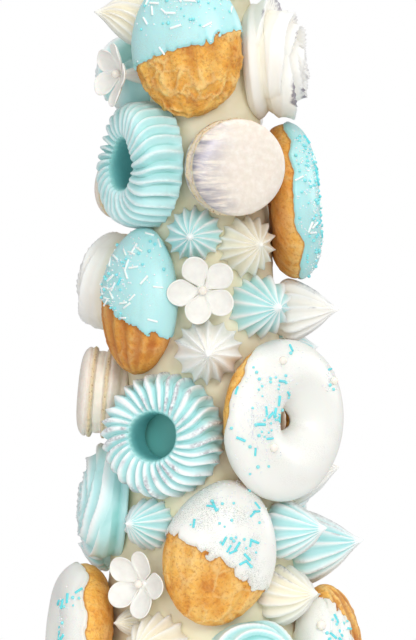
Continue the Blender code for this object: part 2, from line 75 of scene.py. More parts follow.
# The sweets from the top down: kind, colour, azimuth (degrees), height (mm), and what is special about one.
# Its size (mm): radius, height, width as a share, and lift, by which a longer foot holds it further out.
# How it lies (degrees): spin about its own axis, and turn about the upright one.
# Its form: a kiss's ridges and swirl, a ring's painted crest highlight, a rose's folds, a cake's ribs,
# wrinkle and brown.
# Where its glaze ends: edge (mm) and slope, aside for one dipped sideways, bare for a bay (degrees).
# Its silver, with strokes of a brush (degrees) or its bare side (mm), and its glitter.
SWEETS = {
    "kiss_blue_top": ("kiss", "blue", 48, 366, {}),
    "kiss_cream_upper_left": ("kiss", "cream", -88, 342.5, {"lift": 4, "radius": 14.5, "swirl": 1.1}),
    "madeleine_blue_top": ("madeleine", "blue", -16, 332.8, {"spin": 5, "edge": -1, "slope": 0.29,
                                                             "wrinkle": 1.5, "ribs": 0.4, "glitter": 0.4}),
    "rosette_white_upper_right": ("rosette", "white", 84, 323, {"lift": 3.5, "silver": 1.4, "folds": 1.5}),
    "flower_upper_left": ("flower", "white", -68.5, 317, {"lift": 12.5, "radius": 15, "turn": 6}),
    "rosette_blue_upper_left": ("rosette", "blue", -114, 315.5, {"lift": 8, "radius": 17.6}),
    "ring_blue_upper": ("ring", "blue", -57, 276.6, {"turn": -7, "lift": 2, "pale": 0.72}),
    "macaron_pearl": ("macaron", "shell", 19, 277, {"lift": 6, "radius": 22.3, "silver": 1.0, "side": -5}),
    "macaron_left_upper": ("macaron", "shell", -131, 261.5, {"lift": 9, "radius": 17}),
    "doughnut_blue": ("doughnut", "blue", 94, 258, {"radius": 36.5, "edge": 11.5, "brown": 0.35}),
    "kiss_blue_middle": ("kiss", "blue", -8.2, 246.7, {"radius": 13.4, "ridges": 14}),
    "kiss_cream_middle": ("kiss", "cream", 38, 241, {"lift": 1, "turn": -22, "radius": 14.2, "ridges": 15}),
    "flower_middle": ("flower", "white", -1, 221.5, {"lift": 1.5, "spin": 40}),
    "kiss_blue_right": ("kiss", "blue", 48, 213, {"lift": 1, "turn": -28, "radius": 15.4, "ridges": 14}),
    "kiss_white_right": ("kiss", "white", 87, 208, {"lift": 4, "radius": 14.4, "silver": 0.8}),
    "madeleine_blue_left": ("madeleine", "blue", -50, 214.5, {"width": 0.86, "edge": -4, "slope": -0.42,
                                                               "brown": 0.8}),
    "rosette_white_left": ("rosette", "white", -119, 215.5, {"lift": 8, "radius": 26}),
    "kiss_white_middle": ("kiss", "white", 2.5, 194, {"radius": 15.8, "strokes": (128, 155), "ridges": 14}),
    "macaron_left_lower": ("macaron", "shell", -92, 169, {"lift": 3, "radius": 20.8, "silver": 0.8}),
    "doughnut_white_front": ("doughnut", "white", 48, 161, {"edge": 6.5, "bare": 140}),
    "ring_blue_lower": ("ring", "blue", -26, 155, {"lift": 1, "silver": 0.7}),
    "kiss_white_far_right": ("kiss", "white", 99, 131, {}),
    "rosette_blue_left": ("rosette", "blue", -86, 119, {"radius": 29, "height": 21}),
    "kiss_blue_lower_left": ("kiss", "blue", -35, 114, {"radius": 12.5, "ridges": 15}),
    "kiss_blue_lower_right": ("kiss", "blue", 54, 110, {"radius": 14.2, "lift": 2, "silver": 0.3}),
    "madeleine_white": ("madeleine", "white", 8, 102, {"spin": -14, "edge": -3, "slope": -0.33,
                                                       "glitter": 1.0, "brown": 0.3, "ribs": 0.25}),
    "kiss_blue_large": ("kiss", "blue", 86, 98, {"radius": 17, "lift": 1, "silver": 0.5}),
    "kiss_blue_far_left": ("kiss", "blue", -121, 91, {"radius": 10, "lift": 9}),
    "flower_lower_left": ("flower", "white", -36, 87, {}),
    "kiss_cream_lower_right": ("kiss", "cream", 49, 81, {"radius": 14.5, "strokes": (95, 125),
                                                         "swirl": 0.4}),
    "kiss_blue_behind_right": ("kiss", "blue", 115, 90, {"radius": 10.3}),
    "madeleine_lower_right": ("madeleine", "white", 79, 49, {"lift": 7, "spin": 10, "edge": -12, "aside": 1}),
    "kiss_cream_bottom": ("kiss", "cream", -26, 60, {"radius": 15.3}),
    "kiss_cream_low_left": ("kiss", "cream", -48, 68, {"radius": 6.5}),
    "doughnut_white_lower_left": ("doughnut", "white", -81, 55, {"lift": 2, "edge": 12.5}),
    "rosette_blue_bottom": ("rosette", "blue", 25, 51, {"radius": 22}),
    "kiss_white_foot_left": ("kiss", "white", -20, 28, {}),
    "kiss_blue_foot_right": ("kiss", "blue", 50, 26, {"radius": 10}),
    "kiss_white_crown_front": ("kiss", "white", 2, 390, {"radius": 12.4}),
    "kiss_blue_crown_right": ("kiss", "blue", 78, 391, {"radius": 12.4}),
    "kiss_white_crown_back_right": ("kiss", "white", 150, 390, {"radius": 12.4}),
    "kiss_cream_crown_back_left": ("kiss", "cream", 221, 390, {"radius": 12.4}),
    "kiss_blue_crown_left": ("kiss", "blue", 292, 390, {"radius": 12}),
    "rosette_blue_back_top": ("rosette", "blue", 180, 353, {"radius": 21}),
    "ring_white_back": ("ring", "white", 173, 298, {"radius": 24.5, "silver": 0.4}),
    "macaron_back": ("macaron", "shell", 174, 248, {"radius": 19, "silver": 0.5}),
    "doughnut_white_back": ("doughnut", "white", 163, 186, {"radius": 34, "edge": 8}),
    "kiss_blue_back_right": ("kiss", "blue", 110, 188, {"radius": 12.5}),
    "kiss_blue_back_left": ("kiss", "blue", 225, 170, {"radius": 12}),
    "ring_blue_back": ("ring", "blue", 151, 122, {}),
    "madeleine_blue_back": ("madeleine", "blue", 213, 122, {"width": 0.82, "edge": 0, "slope": 0.2}),
    "madeleine_white_back": ("madeleine", "white", 136, 49, {"edge": -2, "slope": 0.25}),
    "doughnut_blue_back": ("doughnut", "blue", 193, 49, {"radius": 32, "edge": 9}),
    "kiss_white_back_low": ("kiss", "white", 233, 61, {"radius": 12}),
    "kiss_cream_back_foot": ("kiss", "cream", 232, 30, {"radius": 12}),
}


def linear(code):
    """Linear colour of an sRGB hex value."""
    parts = [int(code[i:i + 2], 16) / 255 for i in (0, 2, 4)]
    return [c / 12.92 if c <= 0.04045 else ((c + 0.055) / 1.055) ** 2.4 for c in parts]


def colour_property(name, code, description):
    return bpy.props.FloatVectorProperty(name=name, description=description, subtype="COLOR", size=3,
                                         min=0.0, max=1.0, default=linear(code))


class CandyTowerSizes(bpy.types.PropertyGroup):
    kiss_radius: bpy.props.FloatProperty(
        name="Kiss radius", description="Radius of a usual piped kiss", default=13.8 * MM, unit="LENGTH")
    kiss_ridges: bpy.props.IntProperty(
        name="Kiss ridges", description="Ridges round a usual kiss", default=14, min=5)
    ring_radius: bpy.props.FloatProperty(
        name="Ring radius", description="Outer radius of a fluted ring", default=29.5 * MM, unit="LENGTH")
    ring_flutes: bpy.props.IntProperty(
        name="Ring flutes", description="Flutes round a ring", default=28, min=8)
    doughnut_radius: bpy.props.FloatProperty(
        name="Doughnut radius", description="Outer radius of a doughnut", default=37 * MM, unit="LENGTH")
    macaron_radius: bpy.props.FloatProperty(
        name="Macaron radius", description="Radius of a macaron's shells", default=21.8 * MM, unit="LENGTH")
    rose_radius: bpy.props.FloatProperty(
        name="Rose radius", description="Radius of a piped rose", default=29 * MM, unit="LENGTH")
    flower_radius: bpy.props.FloatProperty(
        name="Flower radius", description="Radius of a sugar flower", default=16.5 * MM, unit="LENGTH")
    glaze: bpy.props.FloatProperty(
        name="Glaze", description="Thickness of the glaze on cakes", default=1.1 * MM, unit="LENGTH")
    strand_length: bpy.props.FloatProperty(
        name="Strand length", description="Length of a sugar strand", default=5.0 * MM, unit="LENGTH")
    strand_radius: bpy.props.FloatProperty(
        name="Strand radius", description="Radius of a sugar strand", default=0.6 * MM, unit="LENGTH")


class CandyTowerColours(bpy.types.PropertyGroup):
    blue: colour_property("Blue icing", "B9E6E6", "Body of the pale blue icing")
    # Painted shade: the blue icing's colour deep in its creases
    blue_crease_shade: colour_property("Blue in creases", "98D7D3", "Blue icing deep in its creases")
    white: colour_property("White icing", "F1EFE8", "Body of the white icing")
    cream: colour_property("Cream icing", "F2ECD9", "Body of the cream icing")
    # Painted shade: the cream icing's colour deep in its creases
    cream_crease_shade: colour_property("Cream in creases", "EDE5CB", "Cream icing deep in its creases")
    cake: colour_property("Cake", "EEAC42", "Golden crust of doughnuts and madeleines")
    shell: colour_property("Macaron shell", "E8DED2", "Pearl shell of the macarons")
    strand: colour_property("Blue strands", "6ADBE3", "Turquoise sugar strands")


def sizes():
    return bpy.context.scene.candy_tower_sizes


def colours():
    return bpy.context.scene.candy_tower_colours


# ---- Shaping ------------------------------------------------------------------------------------------


def deselect():
    for obj in list(bpy.context.selected_objects):
        obj.select_set(False)


def points_of(obj):
    flat = np.empty(len(obj.data.vertices) * 3)
    obj.data.vertices.foreach_get("co", flat)
    return flat.reshape(-1, 3)


def move_points(obj, points):
    obj.data.vertices.foreach_set("co", np.ascontiguousarray(points, dtype=np.float64).ravel())
    obj.data.update()


# Stored values stop here, far from any edge (mm)
FAR = 20.0


def paint(obj, name, values):
    """Store one value for each vertex, cut off far from any edge, which the finish reads by name."""
    layer = obj.data.attributes.new(name, "FLOAT", "POINT")
    layer.data.foreach_set("value", np.clip(values, -FAR, FAR).astype(np.float32))


BLANKS = {}


def copied(key):
    """A copy, with its own mesh, of a plain form that was modelled once."""
    blank = BLANKS[key]
    obj = bpy.data.objects.new("sweet", blank.copy())
    bpy.context.collection.objects.link(obj)
    return obj


def keep_blank(key):
    """Put the form just modelled aside, to be copied."""
    obj = bpy.context.object
    BLANKS[key] = obj.data
    obj.data.use_fake_user = True
    bpy.data.objects.remove(obj)


def ball(segments, rings):
    """Plain ball whose pole is the middle of a sweet's face."""
    key = ("ball", segments, rings)
    if key not in BLANKS:
        deselect()
        bpy.ops.mesh.primitive_uv_sphere_add(segments=segments, ring_count=rings, radius=1)
        keep_blank(key)
    return copied(key)


def hoop(steps, sides):
    """Plain hoop lying flat, for what has a hole."""
    key = ("hoop", steps, sides)
    if key not in BLANKS:
        deselect()
        bpy.ops.mesh.primitive_torus_add(major_segments=steps, minor_segments=sides, major_radius=1,
                                         minor_radius=0.25)
        keep_blank(key)
    return copied(key)


def around(points):
    """Angle of each point round the sweet's own axis."""
    return np.arctan2(points[:, 1], points[:, 0])


def angle_from(middle, angle):
    """How far an angle lies from a middle one, within half a turn to either side."""
    return np.angle(np.exp(1j * (angle - middle)))


def from_pole(points):
    """0 at the pole over the face, 1 at the pole under the back."""
    return np.arccos(np.clip(points[:, 2], -1, 1)) / math.pi


def round_hoop(points):
    """0 at the hoop's outer side, rising over its face to 1 at the outer side again."""
    side = np.arctan2(points[:, 2], np.hypot(points[:, 0], points[:, 1]) - 1.0)
    return np.mod(side / math.tau, 1.0)


# Steps of a smooth line between two points of its outline
STEPS_IN_STRETCH = 24


def flowing(outline, share, closed=False):
    """Smooth line through the outline's points, read at a share of its length."""
    p = np.array(outline, float)
    if closed:
        p = np.vstack([p[-1], p, p[:2]])
    else:
        p = np.vstack([2 * p[0] - p[1], p, 2 * p[-1] - p[-2]])
    line = []
    t = np.linspace(0, 1, STEPS_IN_STRETCH, endpoint=False)[:, None]
    for a, b, c, d in zip(p, p[1:], p[2:], p[3:]):
        line.append(0.5 * (2 * b + (c - a) * t + (2 * a - 5 * b + 4 * c - d) * t ** 2
                           + (3 * b - a - 3 * c + d) * t ** 3))
    line = np.vstack(line + [p[-2][None]])
    length = np.concatenate([[0], np.cumsum(np.linalg.norm(np.diff(line, axis=0), axis=1))])
    length /= length[-1]
    return np.interp(share, length, line[:, 0]), np.interp(share, length, line[:, 1])


def stacked(radius, angle, height):
    """Points from their distance to the sweet's axis, their angle round it and their height."""
    return np.column_stack([radius * np.cos(angle), radius * np.sin(angle), height])


def soft_step(low, high, value):
    """0 up to `low` and 1 from `high`, smooth between; falls instead where `low` is the larger."""
    t = np.clip((value - low) / (high - low), 0, 1)
    return t * t * (3 - 2 * t)


def waves(angle, rng, *tones, start=6.0):
    """Sum of waves round a sweet, each with its turns, its amount and a random start up to `start`."""
    total = 0.0
    for turns, amount in tones:
        total = total + amount * np.sin(turns * angle + rng.uniform(0, start))
    return total


def lumps(points, size, seed):
    """Smooth seeded unevenness from -1 to 1 whose bumps are about `size` across."""
    rng = np.random.default_rng(seed)
    total = np.zeros(len(points))
    finer, weaker = 1.7, 1.6
    folds = 4
    for octave in range(3):
        scale = math.pi / size * finer ** octave
        for _ in range(folds):
            direction = rng.normal(size=3)
            direction /= np.linalg.norm(direction)
            bend = 0.9 * np.sin(points @ rng.normal(size=3) * scale * 0.6 + rng.uniform(0, math.tau))
            total += np.sin(points @ direction * scale + bend + rng.uniform(0, math.tau)) / weaker ** octave
    return np.clip(total / folds, -1, 1)


def creases(points, size, seed):
    """1 on the borders between plates about `size` across, falling to 0 inside them."""
    rng = np.random.default_rng(seed)
    # Bent space makes the borders wander
    bend = np.column_stack([lumps(points, 0.8 * size, seed + axis) for axis in (1, 2, 3)])
    bent = points + 0.25 * size * bend
    low, high = bent.min(axis=0), bent.max(axis=0)
    plates = int(np.prod((high - low) / size)) + 1
    first, second = np.full(len(bent), np.inf), np.full(len(bent), np.inf)
    for middle in rng.uniform(low, high, size=(plates, 3)):
        away = np.linalg.norm(bent - middle, axis=1)
        second = np.minimum(second, np.maximum(first, away))
        first = np.minimum(first, away)
    return 1 - soft_step(0.0, 0.24 * size, second - first)


def outward_of(obj):
    """Which way the surface faces at each point."""
    obj.data.update()
    flat = np.empty(len(obj.data.vertices) * 3)
    obj.data.vertices.foreach_get("normal", flat)
    return flat.reshape(-1, 3)


# Profiles as (radius, height), from the middle of the face outwards and down to the back.
# A kiss's heights are in radii, and the others' in their own height; a ring runs from its outer side inwards.
# Sizes are in millimetres.
KISS_TIP = 1.9
KISS = [(0, KISS_TIP), (0.05, 1.84), (0.13, 1.71), (0.27, 1.53), (0.44, 1.35), (0.61, 1.14), (0.78, 0.87),
        (0.92, 0.60), (0.995, 0.38), (0.99, 0.25), (0.92, 0.10), (0.80, 0)]
RING_HOLE = 10.5
RING_HEIGHT = 19
RING = [(0.96, 0.42), (0.84, 0.72), (0.45, 0.92), (-0.25, 1.0), (-0.72, 0.95), (-0.97, 0.78),
        (-1.0, 0.45), (-0.88, 0.04), (0.0, 0.0), (0.85, 0.03), (0.96, 0.2)]
DOUGHNUT_HOLE = 6
DOUGHNUT_HEIGHT = 23
MACARON_HEIGHT = 20
MACARON = [(0, 1.0), (0.45, 0.992), (0.7, 0.965), (0.86, 0.915), (0.955, 0.845), (0.985, 0.785),
           (0.975, 0.745), (0.955, 0.735), (0.985, 0.70), (0.985, 0.65), (0.945, 0.61), (0.90, 0.595),
           (0.915, 0.5), (0.90, 0.405), (0.945, 0.39), (0.985, 0.35), (0.985, 0.30), (0.955, 0.265),
           (0.975, 0.255), (0.985, 0.215), (0.955, 0.155), (0.86, 0.06), (0.74, 0)]
ROSE = [(0, 0.94), (0.12, 0.99), (0.3, 1.0), (0.54, 0.93), (0.74, 0.82), (0.87, 0.66), (0.97, 0.44),
        (1.0, 0.3), (0.97, 0.12), (0.9, 0)]
# Radius of a rose whose folds have their full height
FULL_ROSE = 29
PETALS_IN_ROSE = 9
# Turn from one petal of a rose to the next (radians), which never lines two up
GOLDEN_ANGLE = 2.40
PETALS_IN_FLOWER = 5
MADELEINE_HALF_WIDTH = 26.2
MADELEINE_HALF_LENGTH = 34
MADELEINE_DEPTH = 24
MADELEINE_RIBS = 7


def shape_kiss(special, seed):
    """Star-piped kiss: sharp ridges with wide hollows between, a slow twist and a soft drawn tip."""
    rng = np.random.default_rng(seed)
    radius = special.get("radius", sizes().kiss_radius / MM)
    ridges = special.get("ridges", sizes().kiss_ridges)
    obj = ball(ridges * 8, 40)
    points = points_of(obj)
    angle, share = around(points), from_pole(points)
    foot = special.get("lift", 0.0) / radius
    r, h = flowing(KISS + [(0.6, -foot), (0, -foot)], share)
    climb = np.clip(h / KISS_TIP, 0, 1)
    crest = 1 - np.abs(np.sin(angle * ridges / 2)) ** 0.9
    reach = soft_step(KISS_TIP, 1.62, h) * soft_step(-0.05, 0.12, h)
    # The hollows are uneven, and deeper over the upper half
    depth = (0.18 + 0.09 * soft_step(0.35, 0.95, h)) * (1 + waves(angle, rng, (2, 0.12), (5, 0.10)))
    r = r * (1 - depth * (1 - crest) * reach)
    h = h - 0.05 * (1 - crest) * reach
    for tone in ((1, 0.018), (2, 0.024), (3, 0.014)):
        r = r * (1 + waves(angle, rng, tone, start=math.tau))
    ease = 0.5 + 0.5 * rng.random()
    twist = (0.35 + special.get("swirl", 0.0)) * climb + 0.30 * ease * (1 - climb) ** 2
    twist = twist + waves(angle, rng, (3, 0.05), start=math.tau)
    points = stacked(r, angle + twist, h)
    # The tip is drawn a little to one side
    lean = rng.uniform(0, math.tau)
    points[:, 0] += 0.10 * math.cos(lean) * climb ** 3
    points[:, 1] += 0.10 * math.sin(lean) * climb ** 3
    points *= radius * MM
    move_points(obj, points)
    # The crest value paints a highlight on the crests and the tip; the hollows keep the body colour, without
    # the painted crease shade of the other sweets
    tip = 1 - soft_step(0.1, 0.34, KISS_TIP - h)
    paint(obj, "crest", 0.38 + 0.62 * crest * reach + 0.9 * tip)
    dust = dusting(points, crest * reach, special, seed)
    # A brush stroke of silver catches two or three neighbouring ridges
    for stroke in special.get("strokes", ()):
        away = angle_from(math.radians(stroke), angle + twist)
        stroked = np.exp(-(away / 0.16) ** 4) * soft_step(0.35, 0.8, crest) * soft_step(1.7, 1.2, h)
        dust = np.maximum(dust, stroked)
    paint(obj, "dust", dust)
    return obj


def dusting(points, crest, special, seed):
    """Where a dry brush has left silver: on crests, in broken patches."""
    patch = lumps(points, 11 * MM, seed + 500)
    return special.get("silver", 0.12) * soft_step(0.45, 0.95, crest) * soft_step(-0.15, 0.45, patch)


def shape_ring(special, seed):
    """Fluted ring: steep-sided flutes swirl from a smooth hole over the crown to pointed ends."""
    rng = np.random.default_rng(seed)
    radius = special.get("radius", sizes().ring_radius / MM)
    flutes = sizes().ring_flutes
    middle, half = 0.5 * (radius + RING_HOLE), 0.5 * (radius - RING_HOLE)
    obj = hoop(flutes * 10, 56)
    points = points_of(obj)
    angle, share = around(points), round_hoop(points)
    # u runs from -1 at the hole to 1 at the outer side
    u, h = flowing(RING, share, closed=True)
    outer_half = np.clip(u, 0, 1)
    # No two flutes are quite as wide; on the crown they are broad, and run out into points
    wander = waves(angle, rng, (3, 0.030), (8, 0.020))
    phase = np.mod((angle + wander) * flutes / math.tau + 1e-6, 1.0)
    peak = 0.4
    crest = np.where(phase < peak, phase / peak, (1 - phase) / (1 - peak))
    crest = np.minimum(1.0, crest * (1 + 0.35 * soft_step(0.9, 0.2, u)))
    top = np.where(u > 0, soft_step(-0.02, 0.10, h), soft_step(0.05, 0.5, h))
    fluted = top * soft_step(-0.96, -0.6, u)
    depth = (1 - crest) * fluted * (1 + waves(angle, rng, (4, 0.12), (11, 0.10)))
    r = middle + u * half - depth * (0.8 + 4.4 * outer_half ** 2)
    z = h * RING_HEIGHT - depth * 3.2 * soft_step(0.1, 0.6, h)
    z = np.minimum(z + waves(angle, rng, (2, 0.7), (5, 0.3)) * h, RING_HEIGHT)
    z = np.where(h < 0.06, z - special.get("lift", 0.0), z)
    swirl = 0.15 * u + 0.05 * outer_half ** 2 + 0.012 * np.sin(angle * 3 + 1.0)
    rim = 1 + waves(angle, rng, (2, 0.03)) * soft_step(0.4, -0.9, u)
    points = stacked(r * rim, angle + swirl, z) * MM
    move_points(obj, points)
    wall = soft_step(-0.72, -0.98, u)
    # Painted highlight on the crests, weighted by "pale", and painted crease shade on the hole's wall
    painted_light = special.get("pale", 1.0) * crest * fluted + 0.35 * (1 - fluted) * (1 - wall) - 0.6 * wall
    paint(obj, "crest", painted_light)
    paint(obj, "well", soft_step(-0.80, -1.0, u))
    paint(obj, "dust", dusting(points, crest * fluted, special, seed) + 0.12 * crest ** 2 * fluted)
    return obj


def glazed(obj, points, cover, special, seed):
    """Raise the glaze above the crust, with a soft lip at its edge, and store how far in it lies (mm)."""
    move_points(obj, points)
    normal = outward_of(obj)
    # The baked skin shrinks into plates with raised creases between them
    crease = creases(points, 8.5 * MM, seed + 40) * soft_step(-0.6, 0.3, lumps(points, 12 * MM, seed + 6))
    crust = 0.34 * lumps(points, 8 * MM, seed + 3) + 0.12 * lumps(points, 3 * MM, seed + 4) + 0.8 * crease
    crust *= special.get("wrinkle", 0.45)
    lip = 0.25 * np.exp(-((cover - 1.3) / 0.9) ** 2)
    thick = sizes().glaze / MM + 0.12 * lumps(points, 14 * MM, seed + 5)
    raised = np.where(cover > -0.15, soft_step(-0.15, 1.0, cover) * thick + lip, 0)
    bare = 1 - soft_step(-0.3, 1.2, cover)
    # The crust lies this far inside the plain form, which makes room for the glaze
    inside = 0.9
    points = points + normal * ((raised - inside + crust * bare) * MM)[:, None]
    move_points(obj, points)
    paint(obj, "icing", cover)
    paint(obj, "crease", crease)
    patches = soft_step(-0.3, 0.5, lumps(points, 16 * MM, seed + 8))
    paint(obj, "glitter", special.get("glitter", 0.25) * patches)
    # The oven browns the crust most low on its sides
    height = points[:, 2] / points[:, 2].max()
    paint(obj, "brown", soft_step(0.55, 0.1, height) + special.get("brown", 0.0))


def shape_doughnut(special, seed):
    """Doughnut: a soft uneven torus whose glaze ends in a wavy edge on its side."""
    rng = np.random.default_rng(seed)
    radius = special.get("radius", sizes().doughnut_radius / MM)
    middle, half = 0.5 * (radius + DOUGHNUT_HOLE), 0.5 * (radius - DOUGHNUT_HOLE)
    obj = hoop(256, 104)
    points = points_of(obj)
    angle, side = around(points), round_hoop(points) * math.tau
    # u runs from -1 in the hole to 1 at the outer side
    u, h = np.cos(side), 0.5 + 0.5 * np.sin(side)
    # The crown sinks to the hole in a wide soft funnel
    h = np.where((u < 0) & (h > 0.5), 0.5 + 0.5 * np.abs(np.sin(side)) ** 1.5, h)
    z = DOUGHNUT_HEIGHT * h - special.get("lift", 0.0) * (1 - h)
    uneven = 0.012 * np.sin(2 * angle + 0.6) + 0.010 * np.sin(3 * angle)
    r = (middle + half * u) * (1 + uneven)
    # The hole has closed unevenly to rounded corners
    r = r + 0.6 * (np.cos(3 * angle + 1.0) - 1) * soft_step(0.1, -0.95, u)
    points = stacked(r, angle, z) * MM
    edge = special.get("edge", 9.0)
    wave = waves(angle, rng, (2, 0.9), (5, 0.9), (8, 0.8), (13, 0.5), start=math.tau)
    if "bare" in special:
        away = angle_from(math.radians(special["bare"]), angle)
        wave = wave + 6.5 * np.exp(-(away / 0.55) ** 2)
    # In the hole the glaze ends halfway down
    inner = soft_step(-0.5, -0.9, u) * (edge - 0.44 * DOUGHNUT_HEIGHT)
    cover = z - edge - wave * soft_step(-0.9, -0.3, u) + inner + 0.5 * lumps(points, 5 * MM, seed + 9)
    glazed(obj, points, cover, special, seed)
    return obj


def shape_madeleine(special, seed):
    """Madeleine: an egg-shaped shell cake with lengthwise ribs, dipped so that the glaze ends raggedly."""
    obj = ball(224, 112)
    # The ball's pole becomes the cake's end, which turns its faces inside out
    obj.data.flip_normals()
    points = points_of(obj)
    across, face, along = points[:, 0], points[:, 1], points[:, 2]
    turn = np.arctan2(face, across)
    ribbed = special.get("ribs", 1.0)
    # The grooves between ribs fade at the cake's ends, and bow a little along it
    full = np.minimum(1.0, np.hypot(across, face) * 1.12)
    bow = np.sin(3 * along)
    # Painted shade, darkest in the grooves between the ribs
    groove_shade = 0.5 + 0.5 * np.cos(2 * MADELEINE_RIBS * turn + 0.25 * bow)
    groove = 1 - np.abs(np.sin(MADELEINE_RIBS * turn + 0.12 * bow)) ** 0.75
    x, y = across * MADELEINE_HALF_WIDTH, along * MADELEINE_HALF_LENGTH
    flat = np.column_stack([x, y, face * 20]) * MM
    ragged = 2.0 * lumps(flat, 11 * MM, seed + 11) + 1.2 * lumps(flat, 3.0 * MM, seed + 12)
    # The glaze runs down in short uneven teeth
    apart = 3.4 * MM
    teeth = np.abs(np.sin(flat[:, 0] / apart * math.pi / 2 + 1.6 * lumps(flat, 8 * MM, seed + 13)))
    ragged += teeth ** 0.6 * (2.2 + 1.4 * lumps(flat, 7 * MM, seed + 14))
    edge, slope = special.get("edge", 0.0), special.get("slope", 0.0)
    dipped = edge - x if special.get("aside") else y - edge - slope * x
    cover = dipped + ragged
    # Glaze fills the grooves
    deep = (0.05 + 0.05 * ribbed) * (1 - 0.85 * soft_step(-0.5, 1.5, cover))
    # The widest part of the cake lies at this share of its depth, over a flatter back
    widest = 0.36
    front = widest + (1 - widest) * face * (1 - deep * groove * full)
    back = widest * (1 + 1.3 * face)
    z = np.where(face > 0, front, np.maximum(0, back)) * MADELEINE_DEPTH
    z = z - special.get("lift", 0.0) * np.clip(-face, 0, 1)
    egg = 1.0 - 0.06 * along - 0.10 * along ** 2
    x = x * (1 - 0.5 * deep * groove * np.clip(face, 0, 1)) * egg * special.get("width", 1.0)
    points = np.column_stack([x, y, z]) * MM
    glazed(obj, points, cover, special, seed)
    paint(obj, "groove", ribbed * groove_shade * np.clip(face * 2, 0, 1))
    return obj


def shape_macaron(special, seed):
    """Macaron: two smooth domed shells with frilled porous feet and a filling set back between them."""
    radius = special.get("radius", sizes().macaron_radius / MM)
    obj = ball(160, 96)
    points = points_of(obj)
    angle, share = around(points), from_pole(points)
    foot = special.get("lift", 0.0) / MACARON_HEIGHT
    r, h = flowing(MACARON + [(0.6, -foot), (0, -foot)], share)
    r = r * (1 + 0.008 * np.sin(2 * angle + seed) + 0.006 * np.sin(3 * angle + 2 * seed))
    points = stacked(r * radius, angle, h * MACARON_HEIGHT) * MM
    upper, lower = (np.exp(-((h - level) / 0.05) ** 2) for level in (0.665, 0.335))
    frill = np.maximum(upper, lower) * (r > 0.9)
    filling = soft_step(0.10, 0.07, np.abs(h - 0.5)) * (r > 0.8)
    move_points(obj, points)
    rough = 0.8 * lumps(points, 1.6 * MM, seed + 21) + 0.5 * lumps(points, 3.4 * MM, seed + 22)
    bulge = frill * rough + filling * 0.35 * lumps(points, 4 * MM, seed + 23)
    points = points + outward_of(obj) * (bulge * 0.8 * MM)[:, None]
    move_points(obj, points)
    paint(obj, "frill", frill)
    paint(obj, "filling", filling)
    # The brush has missed the side beyond this line, where its silver fades over a few millimetres
    side, fade = special.get("side", 0.6), 8
    brushed = soft_step(side + fade, side - fade, points[:, 0] / MM + 5 * lumps(points, 18 * MM, seed + 24))
    brushed *= 0.35 + 0.65 * soft_step(0.35, 0.85, r)
    paint(obj, "dust", special.get("silver", 0.25) * brushed * (1 - frill) * (1 - filling))
    return obj


def shape_rosette(special, seed):
    """Piped rose: petals overlap round a bud, each with a sharp lip over a deep crease."""
    rng = np.random.default_rng(seed)
    radius = special.get("radius", sizes().rose_radius / MM)
    height = special.get("height", 24)
    obj = ball(256, 128)
    points = points_of(obj)
    angle, share = around(points), from_pole(points)
    foot = special.get("lift", 0.0) / height
    r, h = flowing(ROSE + [(0.7, -foot), (0, -foot)], share)
    # How far down from the bud a point lies, and how free of the bud and of the foot
    reach = np.where(h > -0.01, np.hypot(r, 0.8 * (1 - h)), 1.3)
    live = soft_step(0.0, 0.12, h) * soft_step(0.0, 0.1, reach)
    turned = rng.uniform(0, math.tau)
    fold = np.zeros(len(points))
    for number in range(PETALS_IN_ROSE):
        out = number / (PETALS_IN_ROSE - 1)
        away = angle_from(turned + number * GOLDEN_ANGLE + 0.2 * rng.normal(), angle)
        across = away / (2.25 - 0.45 * out + 0.15 * rng.normal())
        # Each lip starts low at one end and winds outwards to the other
        lip_at = 0.08 + 0.95 * out ** 0.85 + 0.22 * across - 0.05 * across ** 2
        lip_at = lip_at + 0.014 * np.sin(5 * across + number) + 0.008 * np.sin(11 * across + 2 * number)
        beyond = np.clip((reach - lip_at) / 0.36, -1, 1)
        outside = (1 - np.abs(beyond)) ** 1.1 * (1 - 0.16 * np.abs(np.sin(2.5 * math.pi * beyond)) ** 0.7)
        petal = np.where(beyond < 0, soft_step(-0.12, 0.0, beyond), outside)
        petal = petal * np.clip(1 - across ** 2, 0, 1) ** 0.5 * (0.75 + 0.25 * out)
        fold = np.maximum(fold, petal)
    points = stacked(r * radius, angle, h * height) * MM
    move_points(obj, points)
    # Folds of a full rose stand 7 mm high, and a smaller rose has lower ones
    relief = 7.0 * (fold - 0.72) * special.get("folds", 1.0) + 0.5 * lumps(points, 16 * MM, seed)
    points = points + outward_of(obj) * (radius / FULL_ROSE * relief * live * MM)[:, None]
    move_points(obj, points)
    # Painted highlight on the petals' lips and painted shade in the creases between them
    paint(obj, "crest", soft_step(0.1, 0.95, fold) * live + 0.4 * (1 - live))
    paint(obj, "dust", dusting(points, soft_step(0.35, 0.85, fold) * live, special, seed))
    return obj


SHAPES = {"kiss": shape_kiss, "ring": shape_ring, "doughnut": shape_doughnut, "madeleine": shape_madeleine,
          "macaron": shape_macaron, "rosette": shape_rosette}


# ---- Seating on the cone ------------------------------------------------------------------------------


def cone_radius(height):
    """Radius of the iced cone at a height above the table."""
    return CONE_FOOT_RADIUS - (height - CONE_FOOT) * CONE_SLOPE


